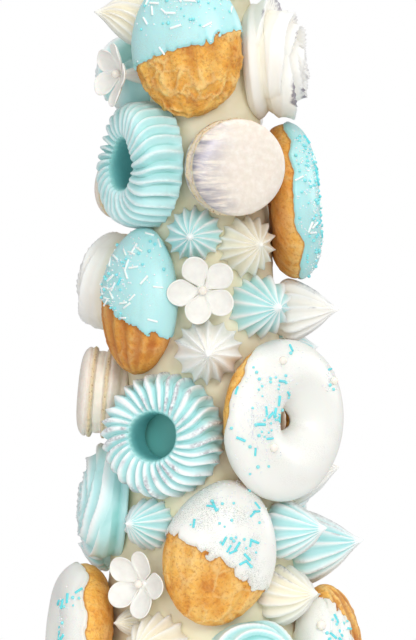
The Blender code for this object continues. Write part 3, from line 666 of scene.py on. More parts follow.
def seat(name):
    """Matrix that takes a sweet from its back to its place on the cone."""
    kind, _, azimuth, height, special = SWEETS[name]
    azimuth, height = math.radians(azimuth), height * MM
    outward = Vector((math.sin(azimuth), -math.cos(azimuth), 0.0))
    across = Vector((math.cos(azimuth), math.sin(azimuth), 0.0))
    upright = Vector((0.0, 0.0, 1.0))
    normal = outward * math.cos(CONE_LEAN) + upright * math.sin(CONE_LEAN)
    up = normal.cross(across)
    depth = (SINK[kind] - special.get("lift", 0.0)) * MM
    place = outward * cone_radius(height) + upright * height - normal * depth
    axes = Matrix((across, up, normal)).transposed().to_4x4()
    spin, turn = (math.radians(special.get(key, 0.0)) for key in ("spin", "turn"))
    return Matrix.Translation(place) @ axes @ Matrix.Rotation(turn, 4, "Y") @ Matrix.Rotation(spin, 4, "Z")


def finish_piece(obj, name, materials, replaced):
    """Name a piece, give it its finishes, and let it stand for its plain solid, if it has one."""
    obj.name = name
    obj.data.name = name
    obj.data.materials.clear()
    for material in materials:
        obj.data.materials.append(material)
    obj.data.polygons.foreach_set("use_smooth", [True] * len(obj.data.polygons))
    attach(obj, "root")
    if replaced:
        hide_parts(replaced)


def make_kind(wanted, finish_of):
    """Make every sweet of one kind and seat it."""
    for seed, (name, (kind, colour, _, _, special)) in enumerate(SWEETS.items()):
        if kind == wanted:
            obj = SHAPES[kind](special, seed)
            obj.data.transform(seat(name))
            finish_piece(obj, name + "_finished", [finish_of(colour)], name)


# ---- Finishes -----------------------------------------------------------------------------------------

# Silver dust brushed on matt sugar
SILVER = "A29EA8"
# What is stored where the painted shade in a ring's hole is lighter, 1 being the darkest
LIGHTER_HOLE_SHADE = 0.6


# A mix takes its share at input 0 and two colours at 6 and 7, and gives a colour at output 2.
# A map range turns the range from input 1 to 2 into the one from 3 to 4.
def add(tree, kind, inputs=None, stops=None, **settings):
    """Add a node with its settings, a ramp's stops, and its inputs."""
    made = tree.nodes.new(kind)
    for key, value in settings.items():
        setattr(made, key, value)
    if stops:
        ramp = made.color_ramp
        while len(ramp.elements) < len(stops):
            ramp.elements.new(0.5)
        for element, (place, value) in zip(ramp.elements, stops):
            element.position = place
            element.color = (*value, 1.0)
    fill(tree, made, inputs or {})
    return made


def fill(tree, node, inputs):
    """Give a node's inputs their values, or link them to the outputs of other nodes."""
    for key, value in inputs.items():
        socket = node.inputs[key]
        if isinstance(value, bpy.types.NodeSocket):
            tree.links.new(value, socket)
        elif socket.type == "RGBA":
            socket.default_value = (*value[:3], 1.0)
        else:
            socket.default_value = value


def cells(size):
    """Scale of a pattern whose cells are so many millimetres across."""
    return 1 / (size * MM)


def start_finish(name):
    """Empty finish with its shader; returns it, its nodes, the shader and the object's coordinates."""
    material = bpy.data.materials.new(name)
    material.use_nodes = True
    tree = material.node_tree
    shader = tree.nodes["Principled BSDF"]
    place = add(tree, "ShaderNodeTexCoord").outputs["Object"]
    return material, tree, shader, place


def kept(maker):
    """Make each finish once for each of its arguments."""
    made = {}

    def once(*choice):
        if choice not in made:
            made[choice] = maker(*choice)
        return made[choice]
    return once


@kept
def piped_icing(colour):
    """Dried royal icing and meringue: matt, faintly porous and lit through at its thin crests, with a painted
    highlight on its crests and painted shade in its creases.
    """
    material, tree, shader, place = start_finish("piped_icing_" + colour)
    pick = colours()
    body = {"blue": pick.blue, "white": pick.white, "cream": pick.cream}[colour]
    # Painted shade in the creases and a painted highlight on the crests, which the crest value picks between
    deep = {"blue": pick.blue_crease_shade, "white": linear("F0ECDC"), "cream": pick.cream_crease_shade}[colour]
    pale = {"blue": linear("F4FBFB"), "white": linear("FAF9F5"), "cream": linear("FBF7EC")}[colour]
    shaded = {"blue": linear("3C9A9C"), "white": linear("D9D3BE"), "cream": linear("D9CFAE")}[colour]
    crest = add(tree, "ShaderNodeAttribute", attribute_name="crest").outputs["Fac"]
    tint = add(tree, "ShaderNodeValToRGB", {"Fac": crest},
               stops=[(0.0, deep), (0.18, body), (0.5, body), (0.92, pale)]).outputs["Color"]
    # Colour drifts a little over a centimetre or two, as mixed icing does
    drift = add(tree, "ShaderNodeTexNoise", {"Vector": place, "Scale": cells(16.67), "Detail": 2.0})
    drift = add(tree, "ShaderNodeMapRange", {"Value": drift.outputs["Fac"], 1: 0.35, 2: 0.75,
                                             3: 0.0, 4: 0.22})
    base = add(tree, "ShaderNodeMix", {0: drift.outputs[0], 6: tint, 7: pale}, data_type="RGBA").outputs[2]
    # A ring's hole lies in its own shade
    well = add(tree, "ShaderNodeAttribute", attribute_name="well").outputs["Fac"]
    well = add(tree, "ShaderNodeMath", {0: well, 1: 0.75}, operation="MULTIPLY").outputs[0]
    base = add(tree, "ShaderNodeMix", {0: well, 6: base, 7: shaded}, data_type="RGBA").outputs[2]
    # Brushed silver breaks up into grains of less than two millimetres
    dust = add(tree, "ShaderNodeAttribute", attribute_name="dust").outputs["Fac"]
    grain = add(tree, "ShaderNodeTexNoise", {"Vector": place, "Scale": cells(1.667), "Detail": 3.0})
    grain = add(tree, "ShaderNodeMapRange", {"Value": grain.outputs["Fac"], 1: 0.30, 2: 0.62,
                                             3: 0.0, 4: 1.0})
    silver = add(tree, "ShaderNodeMath", {0: dust, 1: grain.outputs[0]}, operation="MULTIPLY",
                 use_clamp=True).outputs[0]
    base = add(tree, "ShaderNodeMix", {0: silver, 6: base, 7: linear(SILVER)}, data_type="RGBA").outputs[2]
    metal = add(tree, "ShaderNodeMath", {0: silver, 1: 0.55}, operation="MULTIPLY").outputs[0]
    # Its pores are finer than can be seen, so they are drawn at seven tenths of a millimetre
    pores = add(tree, "ShaderNodeTexNoise", {"Vector": place, "Scale": cells(0.7143), "Detail": 2.0})
    bump = add(tree, "ShaderNodeBump", {"Height": pores.outputs["Fac"], "Strength": 0.12,
                                        "Distance": 0.4 * MM})
    fill(tree, shader, {"Base Color": base, "Metallic": metal, "Normal": bump.outputs["Normal"],
                        "Roughness": 0.58, "Subsurface Weight": 0.45, "Subsurface Scale": 5 * MM,
                        "Subsurface Radius": (1.0, 0.9, 0.8)})
    return material


@kept
def spread_icing():
    """Royal icing spread with a spatula: matt, a little yellower than the sweets, with fine drag marks."""
    material, tree, shader, place = start_finish("spread_icing_cream")
    # The spatula draws its marks out sideways, twice as long as they are high
    drawn = add(tree, "ShaderNodeMapping", {"Vector": place, "Scale": (1.0, 1.0, 2.0)}).outputs["Vector"]
    marks = add(tree, "ShaderNodeTexNoise", {"Vector": drawn, "Scale": cells(16.67), "Detail": 4.0})
    marks = marks.outputs["Fac"]
    tint = add(tree, "ShaderNodeValToRGB", {"Fac": marks},
               stops=[(0.3, linear("E3DAB8")), (0.7, linear("EDE6CE"))]).outputs["Color"]
    # The blue icing under a ring shows in its hole, darkened with painted shade, the more so where the stored
    # value is 1
    blue = add(tree, "ShaderNodeAttribute", attribute_name="blue").outputs["Fac"]
    blue_hole_shade = add(tree, "ShaderNodeValToRGB", {"Fac": blue},
                stops=[(LIGHTER_HOLE_SHADE, linear("64AFA9")), (1.0, linear("2C8286"))]).outputs["Color"]
    share = add(tree, "ShaderNodeMath", {0: blue, 1: 1 / LIGHTER_HOLE_SHADE}, operation="MULTIPLY",
                use_clamp=True).outputs[0]
    base = add(tree, "ShaderNodeMix", {0: share, 6: tint, 7: blue_hole_shade}, data_type="RGBA").outputs[2]
    bump = add(tree, "ShaderNodeBump", {"Height": marks, "Strength": 0.15, "Distance": 0.8 * MM})
    fill(tree, shader, {"Base Color": base, "Normal": bump.outputs["Normal"], "Roughness": 0.62,
                        "Subsurface Weight": 0.1, "Subsurface Scale": 3 * MM})
    return material


@kept
def glazed_cake(colour):
    """Golden baked crust, dry and dimpled, under poured glaze that dries to a satin skin."""
    material, tree, shader, place = start_finish("glazed_cake_" + colour)
    body = {"blue": linear("B4E3E4"), "white": linear("EDEDE8")}[colour]
    shade = {"blue": linear("9ADADC"), "white": linear("E0DED4")}[colour]
    cover = add(tree, "ShaderNodeAttribute", attribute_name="icing").outputs["Fac"]
    iced = add(tree, "ShaderNodeMapRange", {"Value": cover, 1: 0.0, 2: 0.35, 3: 0.0, 4: 1.0}).outputs[0]
    # The crust browns unevenly over about a centimetre
    broad = add(tree, "ShaderNodeTexNoise", {"Vector": place, "Scale": cells(10.53), "Detail": 4.0,
                                             "Roughness": 0.6}).outputs["Fac"]
    crust = add(tree, "ShaderNodeValToRGB", {"Fac": broad},
                stops=[(0.30, linear("C4731A")), (0.45, colours().cake), (0.62, linear("F9C764")),
                       (0.78, linear("FBD98A"))]).outputs["Color"]
    # Pale raised creases lie between its plates, with finer ones of about four millimetres in the plates
    wander = add(tree, "ShaderNodeTexNoise", {"Vector": place, "Scale": cells(6.25), "Detail": 3.0})
    wander = add(tree, "ShaderNodeVectorMath", {0: wander.outputs["Color"], "Scale": 6 * MM},
                 operation="SCALE")
    bent = add(tree, "ShaderNodeVectorMath", {0: place, 1: wander.outputs[0]}, operation="ADD").outputs[0]
    plates = add(tree, "ShaderNodeTexVoronoi", {"Vector": bent, "Scale": cells(4.167)},
                 feature="DISTANCE_TO_EDGE").outputs["Distance"]
    crease = add(tree, "ShaderNodeMapRange", {"Value": plates, 1: 0.0, 2: 0.16, 3: 1.0, 4: 0.0}).outputs[0]
    crease = add(tree, "ShaderNodeMath", {0: crease, 1: broad}, operation="MULTIPLY").outputs[0]
    raised = add(tree, "ShaderNodeAttribute", attribute_name="crease").outputs["Fac"]
    pale = add(tree, "ShaderNodeMath", {0: crease, 1: 0.6, 2: raised}, operation="MULTIPLY_ADD",
               use_clamp=True)
    pale = add(tree, "ShaderNodeMath", {0: pale.outputs[0], 1: 0.62}, operation="MULTIPLY").outputs[0]
    crust = add(tree, "ShaderNodeMix", {0: pale, 6: crust, 7: linear("F7D890")}, data_type="RGBA").outputs[2]
    # Pores of a millimetre and a half and less, darkened with painted shade where the bump sinks
    fine = add(tree, "ShaderNodeTexNoise", {"Vector": place, "Scale": cells(1.538), "Detail": 4.0,
                                            "Roughness": 0.7}).outputs["Fac"]
    pores = add(tree, "ShaderNodeMapRange", {"Value": fine, 1: 0.32, 2: 0.50, 3: 0.55, 4: 0.0}).outputs[0]
    crust = add(tree, "ShaderNodeMix", {0: pores, 6: crust, 7: linear("A85C14")}, data_type="RGBA").outputs[2]
    # The grooves of a madeleine are darkened with painted shade, and the low sides of any cake are browner
    for name, weight, darker in (("groove", 0.6, "A85612"), ("brown", 0.5, "C26A18")):
        share = add(tree, "ShaderNodeAttribute", attribute_name=name).outputs["Fac"]
        share = add(tree, "ShaderNodeMath", {0: share, 1: weight}, operation="MULTIPLY", use_clamp=True)
        crust = add(tree, "ShaderNodeMix", {0: share.outputs[0], 6: crust, 7: linear(darker)},
                    data_type="RGBA").outputs[2]
    # The crust is darker in a narrow line along the glaze's edge
    along_glaze_edge = add(tree, "ShaderNodeMapRange", {"Value": cover, 1: -0.9, 2: -0.05, 3: 0.0, 4: 0.6}).outputs[0]
    crust = add(tree, "ShaderNodeMix", {0: along_glaze_edge, 6: crust, 7: linear("A55E1E")}, data_type="RGBA").outputs[2]
    # Glaze thins out over its last four millimetres
    thick = add(tree, "ShaderNodeMapRange", {"Value": cover, 1: 0.0, 2: 4.0, 3: 0.0, 4: 1.0}).outputs[0]
    glaze = add(tree, "ShaderNodeMix", {0: thick, 6: shade, 7: body}, data_type="RGBA").outputs[2]
    # Edible glitter: grey-silver flecks of half a millimetre and less, in patches
    flecks = add(tree, "ShaderNodeTexNoise", {"Vector": place, "Scale": cells(0.4545), "Detail": 1.0})
    flecks = add(tree, "ShaderNodeMapRange", {"Value": flecks.outputs["Fac"], 1: 0.50, 2: 0.60,
                                              3: 0.0, 4: 0.7})
    glitter = add(tree, "ShaderNodeAttribute", attribute_name="glitter").outputs["Fac"]
    flecks = add(tree, "ShaderNodeMath", {0: flecks.outputs[0], 1: glitter}, operation="MULTIPLY").outputs[0]
    glaze = add(tree, "ShaderNodeMix", {0: flecks, 6: glaze, 7: linear("B3B8B0")},
                data_type="RGBA").outputs[2]
    base = add(tree, "ShaderNodeMix", {0: iced, 6: crust, 7: glaze}, data_type="RGBA").outputs[2]
    dry_roughness, glaze_roughness = 0.62, 0.33
    rough = add(tree, "ShaderNodeMapRange", {"Value": iced, 3: dry_roughness, 4: glaze_roughness}).outputs[0]
    # Only the bare crust is dimpled
    hills = add(tree, "ShaderNodeMath", {0: crease, 1: 0.4, 2: fine}, operation="MULTIPLY_ADD").outputs[0]
    bare = add(tree, "ShaderNodeMath", {0: 1.0, 1: iced}, operation="SUBTRACT").outputs[0]
    relief = add(tree, "ShaderNodeMath", {0: hills, 1: bare}, operation="MULTIPLY").outputs[0]
    bump = add(tree, "ShaderNodeBump", {"Height": relief, "Strength": 0.5, "Distance": 1.2 * MM})
    fill(tree, shader, {"Base Color": base, "Roughness": rough, "Normal": bump.outputs["Normal"],
                        "Subsurface Weight": 0.12, "Subsurface Scale": 3 * MM})
    return material


@kept
def macaron_shell(colour):
    """Almond meringue shell: satin and faintly speckled, with a porous frill and buttercream between."""
    material, tree, shader, place = start_finish("macaron_" + colour)
    frill = add(tree, "ShaderNodeAttribute", attribute_name="frill").outputs["Fac"]
    filling = add(tree, "ShaderNodeAttribute", attribute_name="filling").outputs["Fac"]
    dust = add(tree, "ShaderNodeAttribute", attribute_name="dust").outputs["Fac"]
    # Ground almond speckles it in flecks of two millimetres and less
    almond = add(tree, "ShaderNodeTexNoise", {"Vector": place, "Scale": cells(2.381), "Detail": 3.0})
    almond = almond.outputs["Fac"]
    base = add(tree, "ShaderNodeValToRGB", {"Fac": almond},
               stops=[(0.3, linear("E3D8CB")), (0.5, colours().shell),
                      (0.8, linear("F1EAE1"))]).outputs["Color"]
    # A dry brush drags pearl dust across in strokes a few millimetres wide, on part of the shell
    turned = add(tree, "ShaderNodeMapping", {"Vector": place, "Rotation": (0.0, 0.25, 0.0),
                                             "Scale": (1.0, 1.0, 6.0)}).outputs["Vector"]
    strokes = add(tree, "ShaderNodeTexNoise", {"Vector": turned, "Scale": cells(18.18), "Detail": 7.0,
                                               "Roughness": 0.62, "Distortion": 0.4}).outputs["Fac"]
    swept = add(tree, "ShaderNodeMapRange", {"Value": strokes, 1: 0.38, 2: 0.60, 3: 0.0, 4: 1.0}).outputs[0]
    silver = add(tree, "ShaderNodeMath", {0: swept, 1: dust}, operation="MULTIPLY").outputs[0]
    base = add(tree, "ShaderNodeMix", {0: silver, 6: base, 7: linear(SILVER)}, data_type="RGBA").outputs[2]
    # The frill's holes, which are about a millimetre and a half apart, are darkened with painted shade
    holes = add(tree, "ShaderNodeTexVoronoi", {"Vector": place, "Scale": cells(1.429)}).outputs["Distance"]
    frilled = add(tree, "ShaderNodeValToRGB", {"Fac": holes},
                  stops=[(0.12, linear("B08A55")), (0.35, linear("E2CEA4"))]).outputs["Color"]
    base = add(tree, "ShaderNodeMix", {0: frill, 6: base, 7: frilled}, data_type="RGBA").outputs[2]
    base = add(tree, "ShaderNodeMix", {0: filling, 6: base, 7: linear("F0E9DA")}, data_type="RGBA").outputs[2]
    metal = add(tree, "ShaderNodeMath", {0: silver, 1: 0.5}, operation="MULTIPLY").outputs[0]
    deep = add(tree, "ShaderNodeMath", {0: holes, 1: frill}, operation="MULTIPLY").outputs[0]
    relief = add(tree, "ShaderNodeMath", {0: almond, 1: 0.25, 2: deep}, operation="MULTIPLY_ADD").outputs[0]
    bump = add(tree, "ShaderNodeBump", {"Height": relief, "Strength": 0.5, "Distance": 0.7 * MM})
    fill(tree, shader, {"Base Color": base, "Metallic": metal, "Normal": bump.outputs["Normal"],
                        "Roughness": 0.42, "Subsurface Weight": 0.1, "Subsurface Scale": 2 * MM})
    return material


@kept
def plain_sugar(name, colour, roughness, grain, strength):
    """Sugar paste, strands, pearls or fondant: one colour that drifts, with a faint grain (mm)."""
    material, tree, shader, place = start_finish(name)
    full = linear(colour) if isinstance(colour, str) else colour
    darker = [0.93 * channel for channel in full]
    noise = add(tree, "ShaderNodeTexNoise", {"Vector": place, "Scale": cells(grain), "Detail": 3.0})
    noise = noise.outputs["Fac"]
    tint = add(tree, "ShaderNodeValToRGB", {"Fac": noise}, stops=[(0.3, darker), (0.65, full)])
    bump = add(tree, "ShaderNodeBump", {"Height": noise, "Strength": strength, "Distance": 0.5 * MM})
    fill(tree, shader, {"Base Color": tint.outputs["Color"], "Normal": bump.outputs["Normal"],
                        "Roughness": roughness, "Subsurface Weight": 0.1, "Subsurface Scale": 2 * MM})
    return material


# ---- Pieces -------------------------------------------------------------------------------------------


class CANDY_OT_board(bpy.types.Operator):
    """Cake board covered with white sugar paste, its edge softly rounded"""
    bl_idname = "candy.board"
    bl_label = "Cake board"

    def execute(self, context):
        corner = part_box("cake_board")[1]
        radius, thick = corner.x, corner.z
        obj = ball(160, 48)
        points = points_of(obj)
        outline = [(0, 1), (0.5, 1), (0.93, 0.995), (0.965, 0.97), (0.99, 0.85), (1.0, 0.6), (1.0, 0.35),
                   (0.99, 0.12), (0.97, 0.0), (0.9, 0), (0.5, 0), (0, 0)]
        r, h = flowing(outline, from_pole(points))
        r = np.minimum(r, 1.0) * radius
        move_points(obj, stacked(r, around(points), np.clip(h, 0, 1) * thick))
        finish = plain_sugar("board_sugar_paste", "F3F2EF", 0.5, 4.545, 0.15)
        finish_piece(obj, "cake_board_finished", [finish], "cake_board")
        return {"FINISHED"}


class CANDY_OT_cone(bpy.types.Operator):
    """Cone coated in cream icing with the low marks of a spatula"""
    bl_idname = "candy.cone"
    bl_label = "Iced cone"

    def execute(self, context):
        top, foot = (CONE_FOOT + CONE_HEIGHT) / MM, CONE_FOOT / MM
        wide, narrow = CONE_FOOT_RADIUS / MM, CONE_TOP_RADIUS / MM
        # The icing is rounded over the top edge
        soft, softer = 4, 1.2
        outline = [(0, top), (narrow - soft, top), (narrow - softer, top - softer), (narrow, top - soft)]
        for share in np.linspace(0, 1, 9)[1:]:
            outline.append((narrow + (wide - narrow) * share, top - soft - (top - soft - foot) * share))
        outline += [(wide * 0.5, foot), (0, foot)]
        obj = ball(160, 220)
        points = points_of(obj)
        angle = around(points)
        r, h = flowing(outline, from_pole(points))
        # A spatula leaves broad low marks that run round the cone, all of them inside its plain form
        drawn = stacked(r, angle, h * 2.6) * MM
        marks = 0.5 * lumps(drawn, 22 * MM, 71) + 0.2 * lumps(drawn, 7 * MM, 72)
        inward = (marks - 0.7) * 0.8 * soft_step(top, top - 6, h) * soft_step(foot, foot + 2, h)
        points = stacked(r + inward, angle, h) * MM
        move_points(obj, points)
        # Blue icing holds each blue ring, and shows at the bottom of its hole, where the stored value sets a
        # painted shade, darkest for the ring with pale crests
        blue = np.zeros(len(points))
        for name, (kind, colour, _, _, special) in SWEETS.items():
            if kind == "ring" and colour == "blue":
                middle = np.array(seat(name).translation)
                near = soft_step(17 * MM, 13 * MM, np.linalg.norm(points - middle, axis=1))
                blue = np.maximum(blue, near * (1.0 if "pale" in special else LIGHTER_HOLE_SHADE))
        paint(obj, "blue", blue)
        finish_piece(obj, "icing_cone_finished", [spread_icing()], "icing_cone")
        return {"FINISHED"}


class CANDY_OT_kisses(bpy.types.Operator):
    """Star-piped kisses all over the tower, and the large one on its tip"""
    bl_idname = "candy.kisses"
    bl_label = "Kisses"

    def execute(self, context):
        make_kind("kiss", piped_icing)
        # The tip's kiss stands upright on the cone, with a seed that no other sweet has
        obj = shape_kiss({"radius": 15, "silver": 0.5}, seed=900)
        obj.data.transform(Matrix.Translation((0, 0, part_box("kiss_white_tip")[0].z)))
        finish_piece(obj, "kiss_white_tip_finished", [piped_icing("white")], "kiss_white_tip")
        return {"FINISHED"}


class CANDY_OT_rings(bpy.types.Operator):
    """Fluted rings with pointed ends and a smooth hole"""
    bl_idname = "candy.rings"
    bl_label = "Fluted rings"

    def execute(self, context):
        make_kind("ring", piped_icing)
        return {"FINISHED"}


class CANDY_OT_roses(bpy.types.Operator):
    """Piped roses with overlapping folds"""
    bl_idname = "candy.roses"
    bl_label = "Roses"

    def execute(self, context):
        make_kind("rosette", piped_icing)
        return {"FINISHED"}


class CANDY_OT_doughnuts(bpy.types.Operator):
    """Glazed doughnuts"""
    bl_idname = "candy.doughnuts"
    bl_label = "Doughnuts"

    def execute(self, context):
        make_kind("doughnut", glazed_cake)
        return {"FINISHED"}


class CANDY_OT_madeleines(bpy.types.Operator):
    """Madeleines dipped in glaze"""
    bl_idname = "candy.madeleines"
    bl_label = "Madeleines"

    def execute(self, context):
        make_kind("madeleine", glazed_cake)
        return {"FINISHED"}


class CANDY_OT_macarons(bpy.types.Operator):
    """Macarons with frilled feet and a filling"""
    bl_idname = "candy.macarons"
    bl_label = "Macarons"

    def execute(self, context):
        make_kind("macaron", macaron_shell)
        return {"FINISHED"}


class CANDY_OT_flowers(bpy.types.Operator):
    """Sugar flowers: five cupped petals round a pearl, on a dab of icing"""
    bl_idname = "candy.flowers"
    bl_label = "Sugar flowers"

    def execute(self, context):
        for seed, (name, (kind, _, _, _, special)) in enumerate(SWEETS.items()):
            if kind == "flower":
                self.make_flower(name, special, seed)
        return {"FINISHED"}

    def make_flower(self, name, special, seed):
        """Join the petals, the pearl and the dab of icing as one piece with two finishes."""
        radius = special.get("radius", sizes().flower_radius / MM)
        petals = self.make_petals(radius, random.Random(seed))
        pearl_radius, pearl_height = 2.0, 6.0
        pearl = ball(24, 14)
        move_points(pearl, (points_of(pearl) * pearl_radius + np.array([0, 0, pearl_height])) * MM)
        dab = self.make_dab(radius, special.get("lift", 0.0))
        finishes = [plain_sugar("petal_sugar_paste", "F0EEE8", 0.45, 3.333, 0.05),
                    plain_sugar("sugar_pearl", "F4EEE4", 0.22, 5.0, 0.0)]
        parts = petals + [pearl, dab]
        for part in parts:
            part.data.materials.clear()
            for finish in finishes:
                part.data.materials.append(finish)
        pearl.data.polygons.foreach_set("material_index", [1] * len(pearl.data.polygons))
        deselect()
        for part in parts:
            part.select_set(True)
        flower = petals[0]
        bpy.context.view_layer.objects.active = flower
        bpy.ops.object.join()
        indices = [polygon.material_index for polygon in flower.data.polygons]
        flower.data.transform(seat(name))
        finish_piece(flower, name + "_finished", finishes, name)
        flower.data.polygons.foreach_set("material_index", indices)

    def make_petals(self, radius, rng):
        """Five petals round the middle, each tilted a little its own way."""
        petals = [self.make_petal(radius)]
        for number in range(1, PETALS_IN_FLOWER):
            petal = petals[0].copy()
            petal.data = petals[0].data.copy()
            bpy.context.collection.objects.link(petal)
            tilt = Matrix.Rotation(rng.uniform(-0.1, 0.06), 4, "Y")
            tilt = Matrix.Rotation(rng.uniform(-0.07, 0.07), 4, "X") @ tilt
            petal.data.transform(Matrix.Rotation(math.tau * number / PETALS_IN_FLOWER, 4, "Z") @ tilt)
            petals.append(petal)
        return petals

    def make_petal(self, radius):
        """One petal along +X: a rounded leaf whose rim curls up towards the face, of even thickness."""
        deselect()
        bpy.ops.mesh.primitive_grid_add(x_subdivisions=22, y_subdivisions=22, size=2)
        petal = bpy.context.object
        flat = points_of(petal)
        # The square sheet becomes round, then long and narrow towards the middle of the flower
        x = flat[:, 0] * np.sqrt(1 - flat[:, 1] ** 2 / 2)
        y = flat[:, 1] * np.sqrt(1 - flat[:, 0] ** 2 / 2)
        out = 0.5 * (x + 1)
        px = (0.06 + 0.92 * out) * radius
        py = y * (0.30 + 0.70 * soft_step(0.0, 0.62, out)) * 0.37 * radius
        # It rises outwards (mm), its sides curl up, and so does its rim
        pz = 3.2 + 5.6 * out ** 1.35 + 2.1 * (y ** 2) * (0.2 + 0.8 * out)
        pz += 0.5 * soft_step(0.6, 1.0, x ** 2 + y ** 2)
        move_points(petal, np.column_stack([px, py, pz]) * MM)
        wall = petal.modifiers.new("wall", "SOLIDIFY")
        wall.thickness = 0.7 * MM
        wall.offset = -1.0
        smooth = petal.modifiers.new("smooth", "SUBSURF")
        smooth.levels = 1
        smooth.render_levels = 1
        for modifier in ("wall", "smooth"):
            bpy.ops.object.modifier_apply(modifier=modifier)
        return petal

    def make_dab(self, radius, lift):
        """Dab of icing from the cone up to the petals; a high one is slimmer and widens to its foot."""
        dab = ball(32, 12)
        points = points_of(dab)
        top, depth = 4.6, lift + 2.5
        width = 0.24 * radius * np.ones(len(points))
        if depth > 6:
            width = 0.13 * radius * (1.9 - 0.9 * points[:, 2])
        half = np.full(len(points), 0.5 * (top + depth))
        points = points * np.column_stack([width, width, half])
        points[:, 2] += 0.5 * (top - depth)
        move_points(dab, points * MM)
        return dab


# Where sugar lies on each glazed sweet: x, y (mm from its middle), spread (mm), then how many blue strands,
# white strands, small beads, crystals and pearls
TOPPINGS = {
    "madeleine_blue_top": [(-4, 16, 9, 0, 14, 18, 60, 0), (10, 12, 8, 0, 6, 12, 40, 0),
                           (0, 26, 8, 0, 5, 8, 30, 0)],
    "madeleine_blue_left": [(-2, 8, 8, 1, 14, 12, 60, 0), (6, 14, 7, 0, 9, 8, 40, 0),
                            (-8, -2, 5, 0, 5, 3, 20, 0)],
    "madeleine_white": [(-9, 21, 1.5, 2, 0, 2, 20, 0), (11, 22, 2.5, 3, 0, 1, 20, 0),
                        (-15, 12, 1.5, 1, 0, 1, 20, 0), (2, 6, 2, 4, 0, 3, 60, 0),
                        (12, 6, 2, 2, 0, 2, 30, 0), (13, 0, 2.5, 3, 0, 1, 20, 0),
                        (0, 14, 8, 0, 0, 8, 160, 0)],
    "madeleine_lower_right": [(-16, 8, 8, 7, 3, 8, 50, 1), (-18, 18, 6, 4, 2, 5, 30, 0)],
    "doughnut_white_front": [(-27, -4, 4, 4, 0, 8, 60, 0), (-20, 3, 3, 4, 0, 6, 40, 0),
                             (-11, 16, 4, 3, 0, 6, 40, 0), (2, 30, 3, 1, 0, 1, 10, 0),
                             (23, 17, 3, 1, 0, 2, 60, 1), (-30, 4, 6, 0, 0, 3, 160, 0),
                             (-6, 26, 2, 0, 0, 0, 0, 1), (-25, -18, 4, 0, 0, 3, 10, 1),
                             (-22, 20, 5, 1, 0, 8, 30, 0)],
    "doughnut_blue": [(-27, 12, 7, 3, 3, 26, 80, 0), (-29, -8, 6, 2, 3, 20, 60, 0),
                      (-20, 24, 6, 2, 2, 16, 60, 0), (-20, -24, 6, 1, 2, 10, 40, 0),
                      (12, 4, 14, 6, 4, 10, 40, 0)],
    "doughnut_white_lower_left": [(20, 12, 7, 8, 0, 10, 50, 0), (8, -8, 12, 7, 0, 12, 50, 1)],
    "doughnut_white_back": [(-12, 12, 10, 8, 0, 12, 60, 1), (14, -10, 10, 8, 0, 12, 60, 1)],
    "doughnut_blue_back": [(-12, 12, 10, 3, 8, 12, 60, 0), (14, -8, 10, 2, 8, 12, 60, 0)],
    "madeleine_blue_back": [(0, 14, 9, 2, 14, 16, 60, 0)],
    "madeleine_white_back": [(0, 14, 9, 9, 3, 14, 80, 1)],
}
# The sugars, and how far each keeps from those laid before it (mm)
SUGARS = {"strand_blue": 2.0, "strand_white": 1.6, "bead": 1.2, "crystal": 0.6, "pearl": 3.5}


